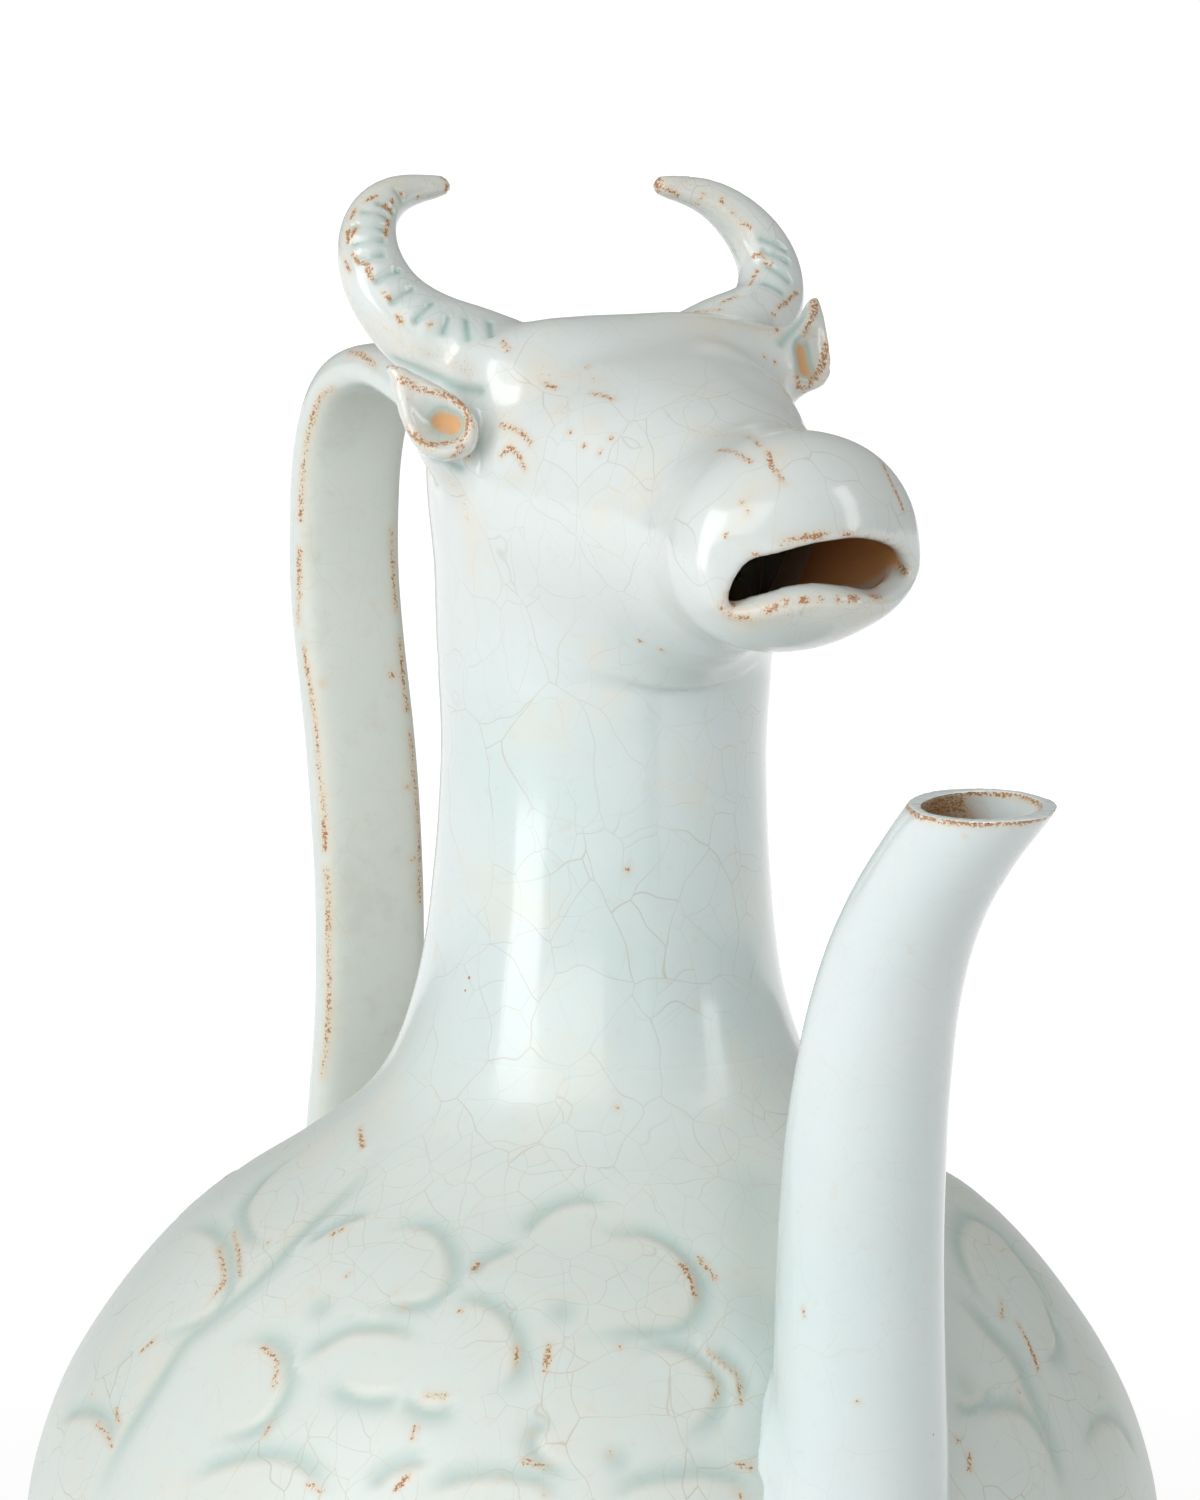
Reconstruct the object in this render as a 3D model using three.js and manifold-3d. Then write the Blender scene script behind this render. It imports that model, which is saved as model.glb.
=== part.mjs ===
// Ox-headed porcelain ewer: a thrown and luted vessel with a pouring head, horns, ears,
// a long curved spout and a strap handle. Millimetres, +Z up. The origin is the centre of
// the flat foot. The muzzle and the spout face -Y, the handle is at +Y, and the ox's right
// side is at -X. Every piece is clay of its own, joined to its neighbour with slip, so
// neighbours are separate solids with a thin joint between them.
import * as THREE from 'three';
import * as BufferGeometryUtils from 'three/addons/utils/BufferGeometryUtils.js';
import Module from 'manifold-3d';

const wasm = await Module();
wasm.setup();

// Joints between the clay pieces
const jointGap = 0.3;
const turnedSides = 48;

// Foot: a solid turned disc with a bare flat underside
const footRadius = 54;
const footHeight = 9;
const footBevel = 1.6;
const footWaist = 51.5;
const footFlare = 1;

// Body and neck: one turned outline, cut into lower body, upper body and neck
const bellyHeight = 103;
const neckJointHeight = 208;
const headJointHeight = 285;
const floorHeight = 15;
const outlineSamples = 600;
const lowerSteps = { outer: 9, inner: 6 };
const upperSteps = { outer: 14, inner: 9 };
const neckSteps = { outer: 6, inner: 3 };
const seatTop = 289;
const seatSteps = 34;
const bodyWall = 5;
const neckWall = 4.6;
const turnedOutline = [
  [footWaist + 1.5, footHeight - 4],
  [60, 13],
  [79, 27],
  [98, 50],
  [110.5, 76],
  [115.2, bellyHeight],
  [112.6, 126.3],
  [102.3, 149.6],
  [83.2, 173.5],
  [59.7, 190],
  [45.5, 202],
  [39.4, 215],
  [35.9, 229],
  [33.7, 250],
  [32.9, 269.5],
  [33.6, headJointHeight],
  [34.4, headJointHeight + 8],
];

// Ox head: sections of a bent tube, from the neck joint over the skull to the muzzle.
// Each has the pitch of its plane, the centre in Y and Z, its half sizes, its share of the
// head's roll, how far the jaw is drawn in below, and how square the crown is above.
const headWall = 4.6;
const headRoll = 7;
const headRollCentre = 322;
const headPoints = 32;
const headSections = [
  { pitch: 0, y: 0, z: 285, halfWidth: 33.6, halfHeight: 33.6, roll: 0, jaw: 0, crown: 0 },
  { pitch: 20, y: 0, z: 300, halfWidth: 34.9, halfHeight: 36.8, roll: 0.1, jaw: 0.04, crown: 0.1 },
  { pitch: 40, y: -3.6, z: 317.4, halfWidth: 39.2, halfHeight: 42.4, roll: 0.4, jaw: 0.16, crown: 0.35 },
  { pitch: 59, y: -19.4, z: 322.6, halfWidth: 40.4, halfHeight: 37.6, roll: 0.8, jaw: 0.3, crown: 0.4 },
  { pitch: 75, y: -36, z: 321.8, halfWidth: 33.4, halfHeight: 31, roll: 1, jaw: 0.3, crown: 0.2 },
  { pitch: 87, y: -50, z: 320, halfWidth: 26.6, halfHeight: 25.2, roll: 1, jaw: 0.22, crown: 0.05 },
  { pitch: 91, y: -59, z: 319.6, halfWidth: 23.8, halfHeight: 22, roll: 1, jaw: 0.1, crown: 0 },
  { pitch: 92, y: -74, z: 320.6, halfWidth: 25.9, halfHeight: 21.4, roll: 1, jaw: 0, crown: 0 },
];
const headOuterSteps = 28;
const headInnerSteps = 14;

// Muzzle front and the open mouth: an arched slot between two lips
const muzzleFrontSteps = 6;
const mouthCentreX = 0.2;
const mouthCentreZ = 311.6;
const mouthHalfWidth = 21.2;
const mouthRise = 12.2;
const mouthFall = 2.4;
const mouthCornerY = -84.8;
const mouthMiddleY = -92.8;
const mouthArch = 0.8;
const lipInset = 1.2;
const lipSwell = 0.8;
const lipDepth = 4.6;
const lipRoll = 4.6;
const chinSlope = 1.7;

// Horns: round tapering rolls of clay, each bent by hand, so the two differ a little
const hornSides = 12;
const hornSteps = 16;
const rightHornPath = [
  [-17, 3, 342], [-26, 5, 347.5], [-35.5, 9, 353], [-42.5, 13, 360],
  [-45.4, 16.5, 368.5], [-43, 20, 376], [-35.8, 22.5, 380.4], [-24.5, 23.5, 381.4],
];
const leftHornPath = [
  [17, 3, 343], [27, 6, 348], [37, 9.5, 351.5], [43.5, 13, 356],
  [45.4, 16.5, 363.5], [41.6, 20, 371.5], [33.5, 22, 377.5], [22.5, 23, 380],
];
const hornRadii = [12.5, 11.4, 9.2, 7.5, 6.4, 5.2, 3.6, 1.9];

// Ears: hollowed leaves set out, back and up from behind the eyes
const earRoot = { x: 36.4, y: -16, z: 337.5 };
const earTip = { x: 48.9, y: -5, z: 354.4 };
const earLobe = { x: 36.2, y: -3.5, z: 338, across: 6.2, along: 9.5, high: 9.5 };
const earHalfWidth = 7.8;
const earHalfThickness = 5.2;
const earWall = 2.2;
const earScoopForward = 3.3;
const earScoopInset = 1.5;
const earFacing = { x: 0.35, y: -1, z: 0.1 };
const earFullness = 0.7;
const earTaper = 0.35;
const earSteps = 9;
const earSides = 14;
const earLobeSides = 10;

// Eye pads: low domes of clay pressed on the sides of the face
const eyePlace = { x: 19.2, y: -31, z: 338.6 };
const eyeSize = { along: 12.5, across: 10.5, proud: 9 };
const eyeTurn = 24;

// Spout: a curved tapering tube luted on the belly, with a level-cut pouring mouth
const spoutSides = 20;
const spoutSteps = 20;
const spoutPath = [
  [0, -84, 104], [0, -98, 112], [0, -106.5, 126], [0, -108.6, 148], [0, -107.6, 172],
  [0, -107.6, 196], [0, -110, 220], [0, -116.5, 243], [0, -129, 262], [0, -146, 278],
  [0, -161, 290],
];
const spoutRadii = [19.5, 19, 18.2, 17.2, 16.5, 15.9, 15.1, 13.7, 12.1, 11.3, 11];
const spoutWall = 3;
const spoutMouthHeight = 281;
const spoutMouthTilt = 7;
const spoutMouthY = -150;
const spoutCutSize = 120;
const spoutBoreStart = [0, -66, 94];
const spoutBoreEnd = [0, -170, 297];

// Strap handle: a flat strap from the back of the head, over an arch, down to the shoulder
const strapWidth = 24;
const strapThickness = 9.4;
const strapEdgeFullness = 0.45;
const strapFaceFullness = 0.6;
const strapSides = 14;
const strapSteps = 38;
const strapPath = [
  [0, 20, 315], [0, 36, 321], [0, 56, 329.5], [0, 76, 336], [0, 93, 337.6],
  [0, 108.5, 331.5], [0, 116.6, 319], [0, 118.7, 303], [0, 118, 286], [0, 112.5, 265],
  [0, 107.4, 243], [0, 104.6, 222], [0, 104.2, 200], [0, 107, 180], [0, 109.4, 164],
  [0, 108.6, 148], [0, 101, 134],
];

// Glaze colours as seen on the pieces
const glazeColour = 0xdce8e4;
const paleGlazeColour = 0xe6efee;
const bareClayColour = 0xc9b79c;
const glazeRoughness = 0.2;
const clayRoughness = 0.75;

// Joins rings of equal point counts into one closed mesh. A looped loft joins its last
// ring to its first, and a capped one closes both ends on their centres.
function loft(rings, looped) {
  const count = rings[0].length;
  const points = rings.flat();
  const faces = [];
  const spans = looped ? rings.length : rings.length - 1;
  for (let ring = 0; ring < spans; ring++) {
    const here = ring * count;
    const next = ((ring + 1) % rings.length) * count;
    for (let i = 0; i < count; i++) {
      const j = (i + 1) % count;
      faces.push(here + i, here + j, next + j, here + i, next + j, next + i);
    }
  }
  if (!looped) {
    const last = (rings.length - 1) * count;
    const startCentre = points.push(ringCentre(rings[0])) - 1;
    const endCentre = points.push(ringCentre(rings[rings.length - 1])) - 1;
    for (let i = 0; i < count; i++) {
      const j = (i + 1) % count;
      faces.push(startCentre, j, i, endCentre, last + i, last + j);
    }
  }
  const geometry = new THREE.BufferGeometry().setFromPoints(points);
  geometry.setIndex(faces);
  return facingOut(geometry);
}

function ringCentre(ring) {
  const centre = new THREE.Vector3();
  for (const point of ring) centre.add(point);
  return centre.divideScalar(ring.length);
}

// Turns a closed mesh the right way round by the sign of its volume
function facingOut(geometry) {
  const place = geometry.getAttribute('position');
  const index = geometry.getIndex();
  const corner = [new THREE.Vector3(), new THREE.Vector3(), new THREE.Vector3()];
  let volume = 0;
  for (let i = 0; i < index.count; i += 3) {
    corner.forEach((point, k) => point.fromBufferAttribute(place, index.getX(i + k)));
    volume += corner[0].dot(corner[1].clone().cross(corner[2]));
  }
  if (volume < 0) {
    const flipped = Array.from(index.array);
    for (let i = 0; i < flipped.length; i += 3) {
      [flipped[i + 1], flipped[i + 2]] = [flipped[i + 2], flipped[i + 1]];
    }
    geometry.setIndex(flipped);
  }
  return geometry;
}

// Turned pieces: the profile is given as [radius, height] pairs
function turned(profile) {
  const points = profile.map(([radius, height]) => new THREE.Vector2(radius, height));
  const geometry = new THREE.LatheGeometry(points, turnedSides);
  geometry.rotateX(Math.PI / 2);
  geometry.deleteAttribute('normal');
  geometry.deleteAttribute('uv');
  return facingOut(BufferGeometryUtils.mergeVertices(geometry, 0.001));
}

function toSolid(geometry) {
  const bare = geometry.clone();
  bare.deleteAttribute('normal');
  bare.deleteAttribute('uv');
  const merged = BufferGeometryUtils.mergeVertices(bare, 0.0001);
  return new wasm.Manifold(new wasm.Mesh({
    numProp: 3,
    vertProperties: new Float32Array(merged.getAttribute('position').array),
    triVerts: new Uint32Array(merged.getIndex().array),
  }));
}

function toGeometry(solid) {
  const mesh = solid.getMesh();
  const geometry = new THREE.BufferGeometry();
  geometry.setAttribute('position', new THREE.BufferAttribute(mesh.vertProperties, 3));
  geometry.setIndex(new THREE.BufferAttribute(mesh.triVerts, 1));
  return geometry;
}

function cut(solid, cores) {
  return cores.reduce((left, core) => left.subtract(core), solid);
}

// A smooth value between hand-set stops, at t from 0 to 1
function between(stops, t) {
  const curve = new THREE.SplineCurve(stops.map((value, i) => new THREE.Vector2(i, value)));
  return curve.getPoint(t).y;
}

// The turned outline, moved in by an offset, between two heights, in equal steps
function outlinePart(low, high, steps, offset = 0) {
  const curve = new THREE.SplineCurve(turnedOutline.map(([r, z]) => new THREE.Vector2(r, z)));
  const dense = [];
  for (let i = 0; i <= outlineSamples; i++) {
    const point = curve.getPoint(i / outlineSamples);
    const along = curve.getTangent(i / outlineSamples);
    dense.push(new THREE.Vector2(point.x - along.y * offset, point.y + along.x * offset));
  }
  const kept = [];
  for (let i = 0; i < outlineSamples; i++) {
    const [a, b] = [dense[i], dense[i + 1]];
    for (const height of [low, high]) {
      if (a.y < height && b.y >= height) {
        kept.push(a.clone().lerp(b, (height - a.y) / (b.y - a.y)));
      }
    }
    if (b.y > low && b.y < high) kept.push(b);
  }
  const lengths = [0];
  for (let i = 1; i < kept.length; i++) {
    lengths.push(lengths[i - 1] + kept[i].distanceTo(kept[i - 1]));
  }
  const total = lengths[lengths.length - 1];
  const part = [];
  for (let step = 0; step <= steps; step++) {
    const wanted = (total * step) / steps;
    let i = 1;
    while (i < lengths.length - 1 && lengths[i] < wanted) i++;
    const share = (wanted - lengths[i - 1]) / (lengths[i] - lengths[i - 1]);
    const point = kept[i - 1].clone().lerp(kept[i], share);
    part.push([point.x, point.y]);
  }
  return part;
}

function footSolid() {
  return turned([
    [0, 0],
    [footRadius - footBevel, 0],
    [footRadius, footBevel],
    [footWaist + footFlare, footHeight / 2],
    [footWaist, footHeight],
    [0, footHeight],
  ]);
}

function lowerBodySolid() {
  const bottom = footHeight + jointGap;
  const top = bellyHeight - jointGap / 2;
  return turned([
    [0, bottom],
    ...outlinePart(bottom, top, lowerSteps.outer),
    ...outlinePart(floorHeight, top, lowerSteps.inner, bodyWall).reverse(),
    [0, floorHeight],
  ]);
}

// A tube-shaped part of the outline, closed on itself
function outlineShell(low, high, steps, wall) {
  const outer = outlinePart(low, high, steps.outer);
  const inner = outlinePart(low, high, steps.inner, wall).reverse();
  return turned([...outer, ...inner, outer[0]]);
}

// The whole outside of body and neck as one solid, for seating what stands on it
function outlineCore(offset) {
  const profile = outlinePart(footHeight, seatTop, seatSteps, -offset);
  return toSolid(turned([[0, footHeight], ...profile, [0, seatTop]]));
}

// Rings of a tapering round tube along a smooth path in the X = 0 plane or in space
function tubeRings(path, radii, steps, sides, from = 0, to = 1) {
  const curve = new THREE.CatmullRomCurve3(path.map((p) => new THREE.Vector3(...p)));
  const rings = [];
  for (let step = 0; step <= steps; step++) {
    const t = from + ((to - from) * step) / steps;
    const centre = curve.getPoint(t);
    const along = curve.getTangent(t);
    const side = new THREE.Vector3(0, 1, 0).cross(along);
    if (path[0][0] === 0) side.set(1, 0, 0);
    side.normalize();
    const over = along.clone().cross(side).normalize();
    const radius = between(radii, t);
    const ring = [];
    for (let i = 0; i < sides; i++) {
      const angle = (2 * Math.PI * i) / sides;
      ring.push(centre.clone()
        .addScaledVector(side, radius * Math.cos(angle))
        .addScaledVector(over, radius * Math.sin(angle)));
    }
    rings.push(ring);
  }
  return rings;
}

function spoutSolids(seat) {
  const outer = toSolid(loft(tubeRings(spoutPath, spoutRadii, spoutSteps, spoutSides), false));
  const innerRadii = spoutRadii.map((radius) => radius - spoutWall);
  const longer = [spoutBoreStart, ...spoutPath, spoutBoreEnd];
  const innerStops = [innerRadii[0], ...innerRadii, innerRadii[innerRadii.length - 1]];
  const bore = toSolid(loft(tubeRings(longer, innerStops, spoutSteps, spoutSides), false));
  const mouthCut = new THREE.BoxGeometry(spoutCutSize, spoutCutSize, spoutCutSize);
  mouthCut.translate(0, 0, spoutCutSize / 2);
  mouthCut.rotateY(THREE.MathUtils.degToRad(-spoutMouthTilt));
  mouthCut.translate(0, spoutMouthY, spoutMouthHeight);
  const spout = outer.subtract(toSolid(mouthCut)).subtract(bore).subtract(seat);
  return { spout, bore };
}

// One ring of the head: a soft oval in a plane pitched about X, rolled about Y
function headRing(section, inset) {
  const pitch = THREE.MathUtils.degToRad(section.pitch);
  const up = new THREE.Vector3(0, Math.cos(pitch), Math.sin(pitch));
  const ring = [];
  for (let i = 0; i < headPoints; i++) {
    const angle = (2 * Math.PI * i) / headPoints;
    const lowness = (1 - Math.sin(angle)) / 2;
    const squareness = 1 - section.crown * Math.max(0, Math.sin(angle));
    const across = Math.sign(Math.cos(angle)) * Math.abs(Math.cos(angle)) ** squareness;
    const point = new THREE.Vector3(0, section.y, section.z);
    point.x = (section.halfWidth - inset) * across * (1 - section.jaw * lowness);
    point.addScaledVector(up, (section.halfHeight - inset) * Math.sin(angle));
    ring.push(rolled(point, section.roll));
  }
  return ring;
}

// The face is set a little askew on the neck: its -X side is lower
function rolled(point, share) {
  const turn = THREE.MathUtils.degToRad(headRoll * share);
  const x = point.x;
  const z = point.z - headRollCentre;
  point.x = x * Math.cos(turn) - z * Math.sin(turn);
  point.z = x * Math.sin(turn) + z * Math.cos(turn) + headRollCentre;
  return point;
}

function headSectionAt(t) {
  const section = {};
  for (const key of Object.keys(headSections[0])) {
    section[key] = between(headSections.map((stop) => stop[key]), t);
  }
  return section;
}

// The mouth's edge: an arch above and a flatter one below, point for point with the rings.
// Its inner ring lies deeper and higher at the bottom, so the lower lip is rounded over.
function mouthRing(inset, depth, lowerLip) {
  const ring = [];
  for (let i = 0; i < headPoints; i++) {
    const angle = (2 * Math.PI * i) / headPoints;
    const across = Math.cos(angle);
    const height = Math.sin(angle);
    const above = (mouthRise - inset) * Math.abs(height) ** mouthArch;
    const below = (mouthFall - lowerLip) * height;
    const y = mouthCornerY + (mouthMiddleY - mouthCornerY) * (1 - across ** 2);
    ring.push(rolled(new THREE.Vector3(
      mouthCentreX + (mouthHalfWidth - inset) * across,
      y + depth,
      mouthCentreZ + (height > 0 ? above : below),
    ), 1));
  }
  return ring;
}

function headRings(inset, steps) {
  const rings = [];
  for (let step = 0; step <= steps; step++) {
    rings.push(headRing(headSectionAt(step / steps), inset));
  }
  return rings;
}

// Rounds the muzzle from its widest ring in to the mouth's edge, flatter below, at the chin
function muzzleFront(from, to) {
  const rings = [];
  for (let step = 1; step <= muzzleFrontSteps; step++) {
    const turn = (Math.PI / 2) * (step / muzzleFrontSteps);
    rings.push(from.map((point, i) => {
      const spread = Math.cos(turn) ** (point.z < to[i].z ? chinSlope : 1);
      return new THREE.Vector3(
        to[i].x + (point.x - to[i].x) * spread,
        point.y + (to[i].y - point.y) * Math.sin(turn),
        to[i].z + (point.z - to[i].z) * spread,
      );
    }));
  }
  return rings;
}

function headGeometry() {
  const outer = headRings(0, headOuterSteps);
  const inner = headRings(headWall, headInnerSteps);
  const front = muzzleFront(outer[outer.length - 1], mouthRing(0, 0, 0));
  const lip = mouthRing(lipInset / 2, -lipSwell, lipRoll / 2);
  const back = muzzleFront(inner[inner.length - 1], mouthRing(lipInset, lipDepth, lipRoll));
  return loft([...outer, ...front, lip, ...back.reverse(), ...inner.reverse()], true);
}

// The head's outside as one solid, for seating the horns, ears, eyes and handle
function headCore(offset) {
  const outer = headRings(-offset, headOuterSteps);
  const front = muzzleFront(outer[outer.length - 1], mouthRing(0, -offset, 0));
  return toSolid(loft([...outer, ...front], false));
}

function hornRoll(path, offset) {
  const radii = hornRadii.map((radius) => radius + offset);
  return toSolid(loft(tubeRings(path, radii, hornSteps, hornSides), false));
}

// A leaf: a drop-shaped body of revolution, pressed flat
function leaf(length, halfWidth, halfThickness) {
  const profile = [];
  for (let step = 0; step <= earSteps; step++) {
    const t = step / earSteps;
    const swell = Math.sin(Math.PI * t ** earFullness) * (1 - earTaper * t);
    profile.push(new THREE.Vector2(step % earSteps === 0 ? 0 : swell, length * t));
  }
  const geometry = new THREE.LatheGeometry(profile, earSides);
  geometry.rotateX(Math.PI / 2);
  geometry.scale(halfWidth, halfThickness, 1);
  geometry.deleteAttribute('normal');
  geometry.deleteAttribute('uv');
  return facingOut(BufferGeometryUtils.mergeVertices(geometry, 0.001));
}

// An ear is a leaf with a smaller leaf scooped out of its front, and a lobe behind it
// that joins it to the skull
function earSolid(side, cores) {
  const root = rolled(new THREE.Vector3(side * earRoot.x, earRoot.y, earRoot.z), 1);
  const tip = rolled(new THREE.Vector3(side * earTip.x, earTip.y, earTip.z), 1);
  const along = tip.clone().sub(root);
  const length = along.length();
  along.normalize();
  const front = new THREE.Vector3(side * earFacing.x, earFacing.y, earFacing.z);
  front.addScaledVector(along, -front.dot(along)).normalize();
  const across = front.clone().cross(along);
  const place = new THREE.Matrix4().makeBasis(across, front, along).setPosition(root);
  const body = leaf(length, earHalfWidth, earHalfThickness).applyMatrix4(place);
  const scoopSize = [length - 2 * earWall, earHalfWidth - earScoopInset, earHalfThickness];
  const scoop = leaf(...scoopSize).translate(0, earScoopForward, earWall).applyMatrix4(place);
  const lobeCentre = rolled(new THREE.Vector3(side * earLobe.x, earLobe.y, earLobe.z), 1);
  const lobe = new THREE.SphereGeometry(1, earLobeSides, earLobeSides / 2);
  lobe.scale(earLobe.across, earLobe.along, earLobe.high).translate(...lobeCentre);
  return cut(toSolid(body).add(toSolid(lobe)).subtract(toSolid(scoop)), cores);
}

function eyeSolid(side, seat) {
  const geometry = new THREE.SphereGeometry(1, 16, 12);
  geometry.scale(eyeSize.proud, eyeSize.along, eyeSize.across);
  geometry.rotateZ(side * THREE.MathUtils.degToRad(-eyeTurn));
  geometry.translate(side * eyePlace.x, eyePlace.y, eyePlace.z);
  const place = geometry.getAttribute('position');
  for (let i = 0; i < place.count; i++) {
    const point = rolled(new THREE.Vector3().fromBufferAttribute(place, i), 1);
    place.setXYZ(i, point.x, point.y, point.z);
  }
  return toSolid(geometry).subtract(seat);
}

// The strap's section is a flat oval with full, rounded edges
function strapSolid(cores) {
  const curve = new THREE.CatmullRomCurve3(strapPath.map((p) => new THREE.Vector3(...p)));
  const side = new THREE.Vector3(1, 0, 0);
  const rings = [];
  for (let step = 0; step <= strapSteps; step++) {
    const t = step / strapSteps;
    const centre = curve.getPoint(t);
    const over = curve.getTangent(t).cross(side).normalize();
    const ring = [];
    for (let i = 0; i < strapSides; i++) {
      const angle = (2 * Math.PI * (i + 0.5)) / strapSides;
      const across = Math.sign(Math.cos(angle)) * Math.abs(Math.cos(angle)) ** strapEdgeFullness;
      const thick = Math.sign(Math.sin(angle)) * Math.abs(Math.sin(angle)) ** strapFaceFullness;
      ring.push(centre.clone()
        .addScaledVector(side, (strapWidth / 2) * across)
        .addScaledVector(over, (strapThickness / 2) * thick));
    }
    rings.push(ring);
  }
  return cut(toSolid(loft(rings, false)), cores);
}

const ewer = new THREE.Group();

function addPiece(name, geometry, colour, roughness) {
  const material = new THREE.MeshStandardMaterial({ color: colour, roughness, metalness: 0 });
  const piece = new THREE.Mesh(geometry, material);
  piece.name = name;
  ewer.add(piece);
}

const halfGap = jointGap / 2;
const bodySeat = outlineCore(jointGap);
const headSeat = headCore(jointGap);
const { spout, bore } = spoutSolids(bodySeat);
const upperEnds = [bellyHeight + halfGap, neckJointHeight - halfGap];
const neckEnds = [neckJointHeight + halfGap, headJointHeight - halfGap];
const upperShell = outlineShell(...upperEnds, upperSteps, bodyWall);
const neckShell = outlineShell(...neckEnds, neckSteps, neckWall);

addPiece('foot', footSolid(), bareClayColour, clayRoughness);
addPiece('lower_body', lowerBodySolid(), glazeColour, glazeRoughness);
addPiece('upper_body', toGeometry(toSolid(upperShell).subtract(bore)), glazeColour, glazeRoughness);
addPiece('neck', neckShell, glazeColour, glazeRoughness);
addPiece('ox_head', headGeometry().translate(0, 0, halfGap), glazeColour, glazeRoughness);
addPiece('spout', toGeometry(spout), paleGlazeColour, glazeRoughness);
addPiece('strap_handle', toGeometry(strapSolid([headSeat, bodySeat])), paleGlazeColour, glazeRoughness);
for (const [name, side, path] of [['right', -1, rightHornPath], ['left', 1, leftHornPath]]) {
  const horn = hornRoll(path, 0).subtract(headSeat);
  const ear = earSolid(side, [headSeat, hornRoll(path, jointGap)]);
  const eye = eyeSolid(side, headSeat);
  addPiece(`${name}_horn`, toGeometry(horn), paleGlazeColour, glazeRoughness);
  addPiece(`${name}_ear`, toGeometry(ear), paleGlazeColour, glazeRoughness);
  addPiece(`${name}_eye`, toGeometry(eye), paleGlazeColour, glazeRoughness);
}

export default ewer;
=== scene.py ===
# Looks of the ox-headed porcelain ewer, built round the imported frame. Metres, +Z up.
import math
from collections import namedtuple
from contextlib import contextmanager

import bpy
import numpy as np
from mathutils import Matrix, Vector
from mathutils.bvhtree import BVHTree
from mathutils.kdtree import KDTree


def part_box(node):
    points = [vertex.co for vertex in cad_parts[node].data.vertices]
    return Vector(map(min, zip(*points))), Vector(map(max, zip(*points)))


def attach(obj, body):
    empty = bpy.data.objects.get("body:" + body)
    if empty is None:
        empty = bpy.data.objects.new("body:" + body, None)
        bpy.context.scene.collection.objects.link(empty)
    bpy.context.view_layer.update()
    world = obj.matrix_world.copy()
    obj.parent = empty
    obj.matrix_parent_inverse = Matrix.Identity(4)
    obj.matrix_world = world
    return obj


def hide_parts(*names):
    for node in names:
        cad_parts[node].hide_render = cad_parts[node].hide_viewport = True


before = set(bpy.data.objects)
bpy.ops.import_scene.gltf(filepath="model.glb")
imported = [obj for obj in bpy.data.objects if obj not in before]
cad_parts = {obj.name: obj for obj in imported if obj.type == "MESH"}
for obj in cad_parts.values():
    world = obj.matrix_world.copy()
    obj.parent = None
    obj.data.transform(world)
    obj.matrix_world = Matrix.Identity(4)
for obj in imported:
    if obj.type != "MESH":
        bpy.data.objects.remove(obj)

bl_info = {
    "name": "Ox-headed porcelain ewer",
    "version": (1, 0, 0),
    "blender": (4, 5, 0),
    "location": "3D View > Sidebar > Ewer",
    "description": "Builds a glazed ewer with a carved body and an ox head",
    "category": "Add Mesh",
}

MM = 0.001

# The photograph's frame and viewpoint
PHOTO_WIDTH = 1200
PHOTO_HEIGHT = 1500
VIEW_AZIMUTH = math.radians(-28)
VIEW_ELEVATION = math.radians(9)
VIEW_ROLL = math.radians(0.75)
VIEW_DISTANCE = 1.7
AIM_HEIGHT = 0.2695
AIM_OFFSET = -0.0007
LENS = 204
SENSOR = 36

# Heights where the thrown parts meet, from the frame
BELLY_HEIGHT = (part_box("lower_body")[1].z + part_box("upper_body")[0].z) / 2
NECK_FOOT = (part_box("upper_body")[1].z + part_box("neck")[0].z) / 2
NECK_TOP = (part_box("neck")[1].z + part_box("ox_head")[0].z) / 2
FOOT_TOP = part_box("foot")[1].z


class EwerSizes(bpy.types.PropertyGroup):
    around: bpy.props.IntProperty(
        name="Faces around", description="Faces round the thrown body", default=620, min=48)
    row: bpy.props.FloatProperty(
        name="Row height", description="Height of a row of faces on the carved outside",
        default=1.0 * MM, unit="LENGTH", precision=5)
    clay_grain: bpy.props.FloatProperty(
        name="Clay grain", description="Face size of the hand-modelled pieces",
        default=0.9 * MM, unit="LENGTH", precision=5)
    fine_grain: bpy.props.FloatProperty(
        name="Fine grain", description="Face size of the thin-lipped spout",
        default=0.66 * MM, unit="LENGTH", precision=5)
    carving_depth: bpy.props.FloatProperty(
        name="Carving depth", description="Depth of the knife's cut at a scroll's edge",
        default=0.55 * MM, unit="LENGTH", precision=5)
    hand_wobble: bpy.props.FloatProperty(
        name="Hand wobble", description="How far the hand-made surface strays from true",
        default=0.18 * MM, unit="LENGTH", precision=5)


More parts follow.
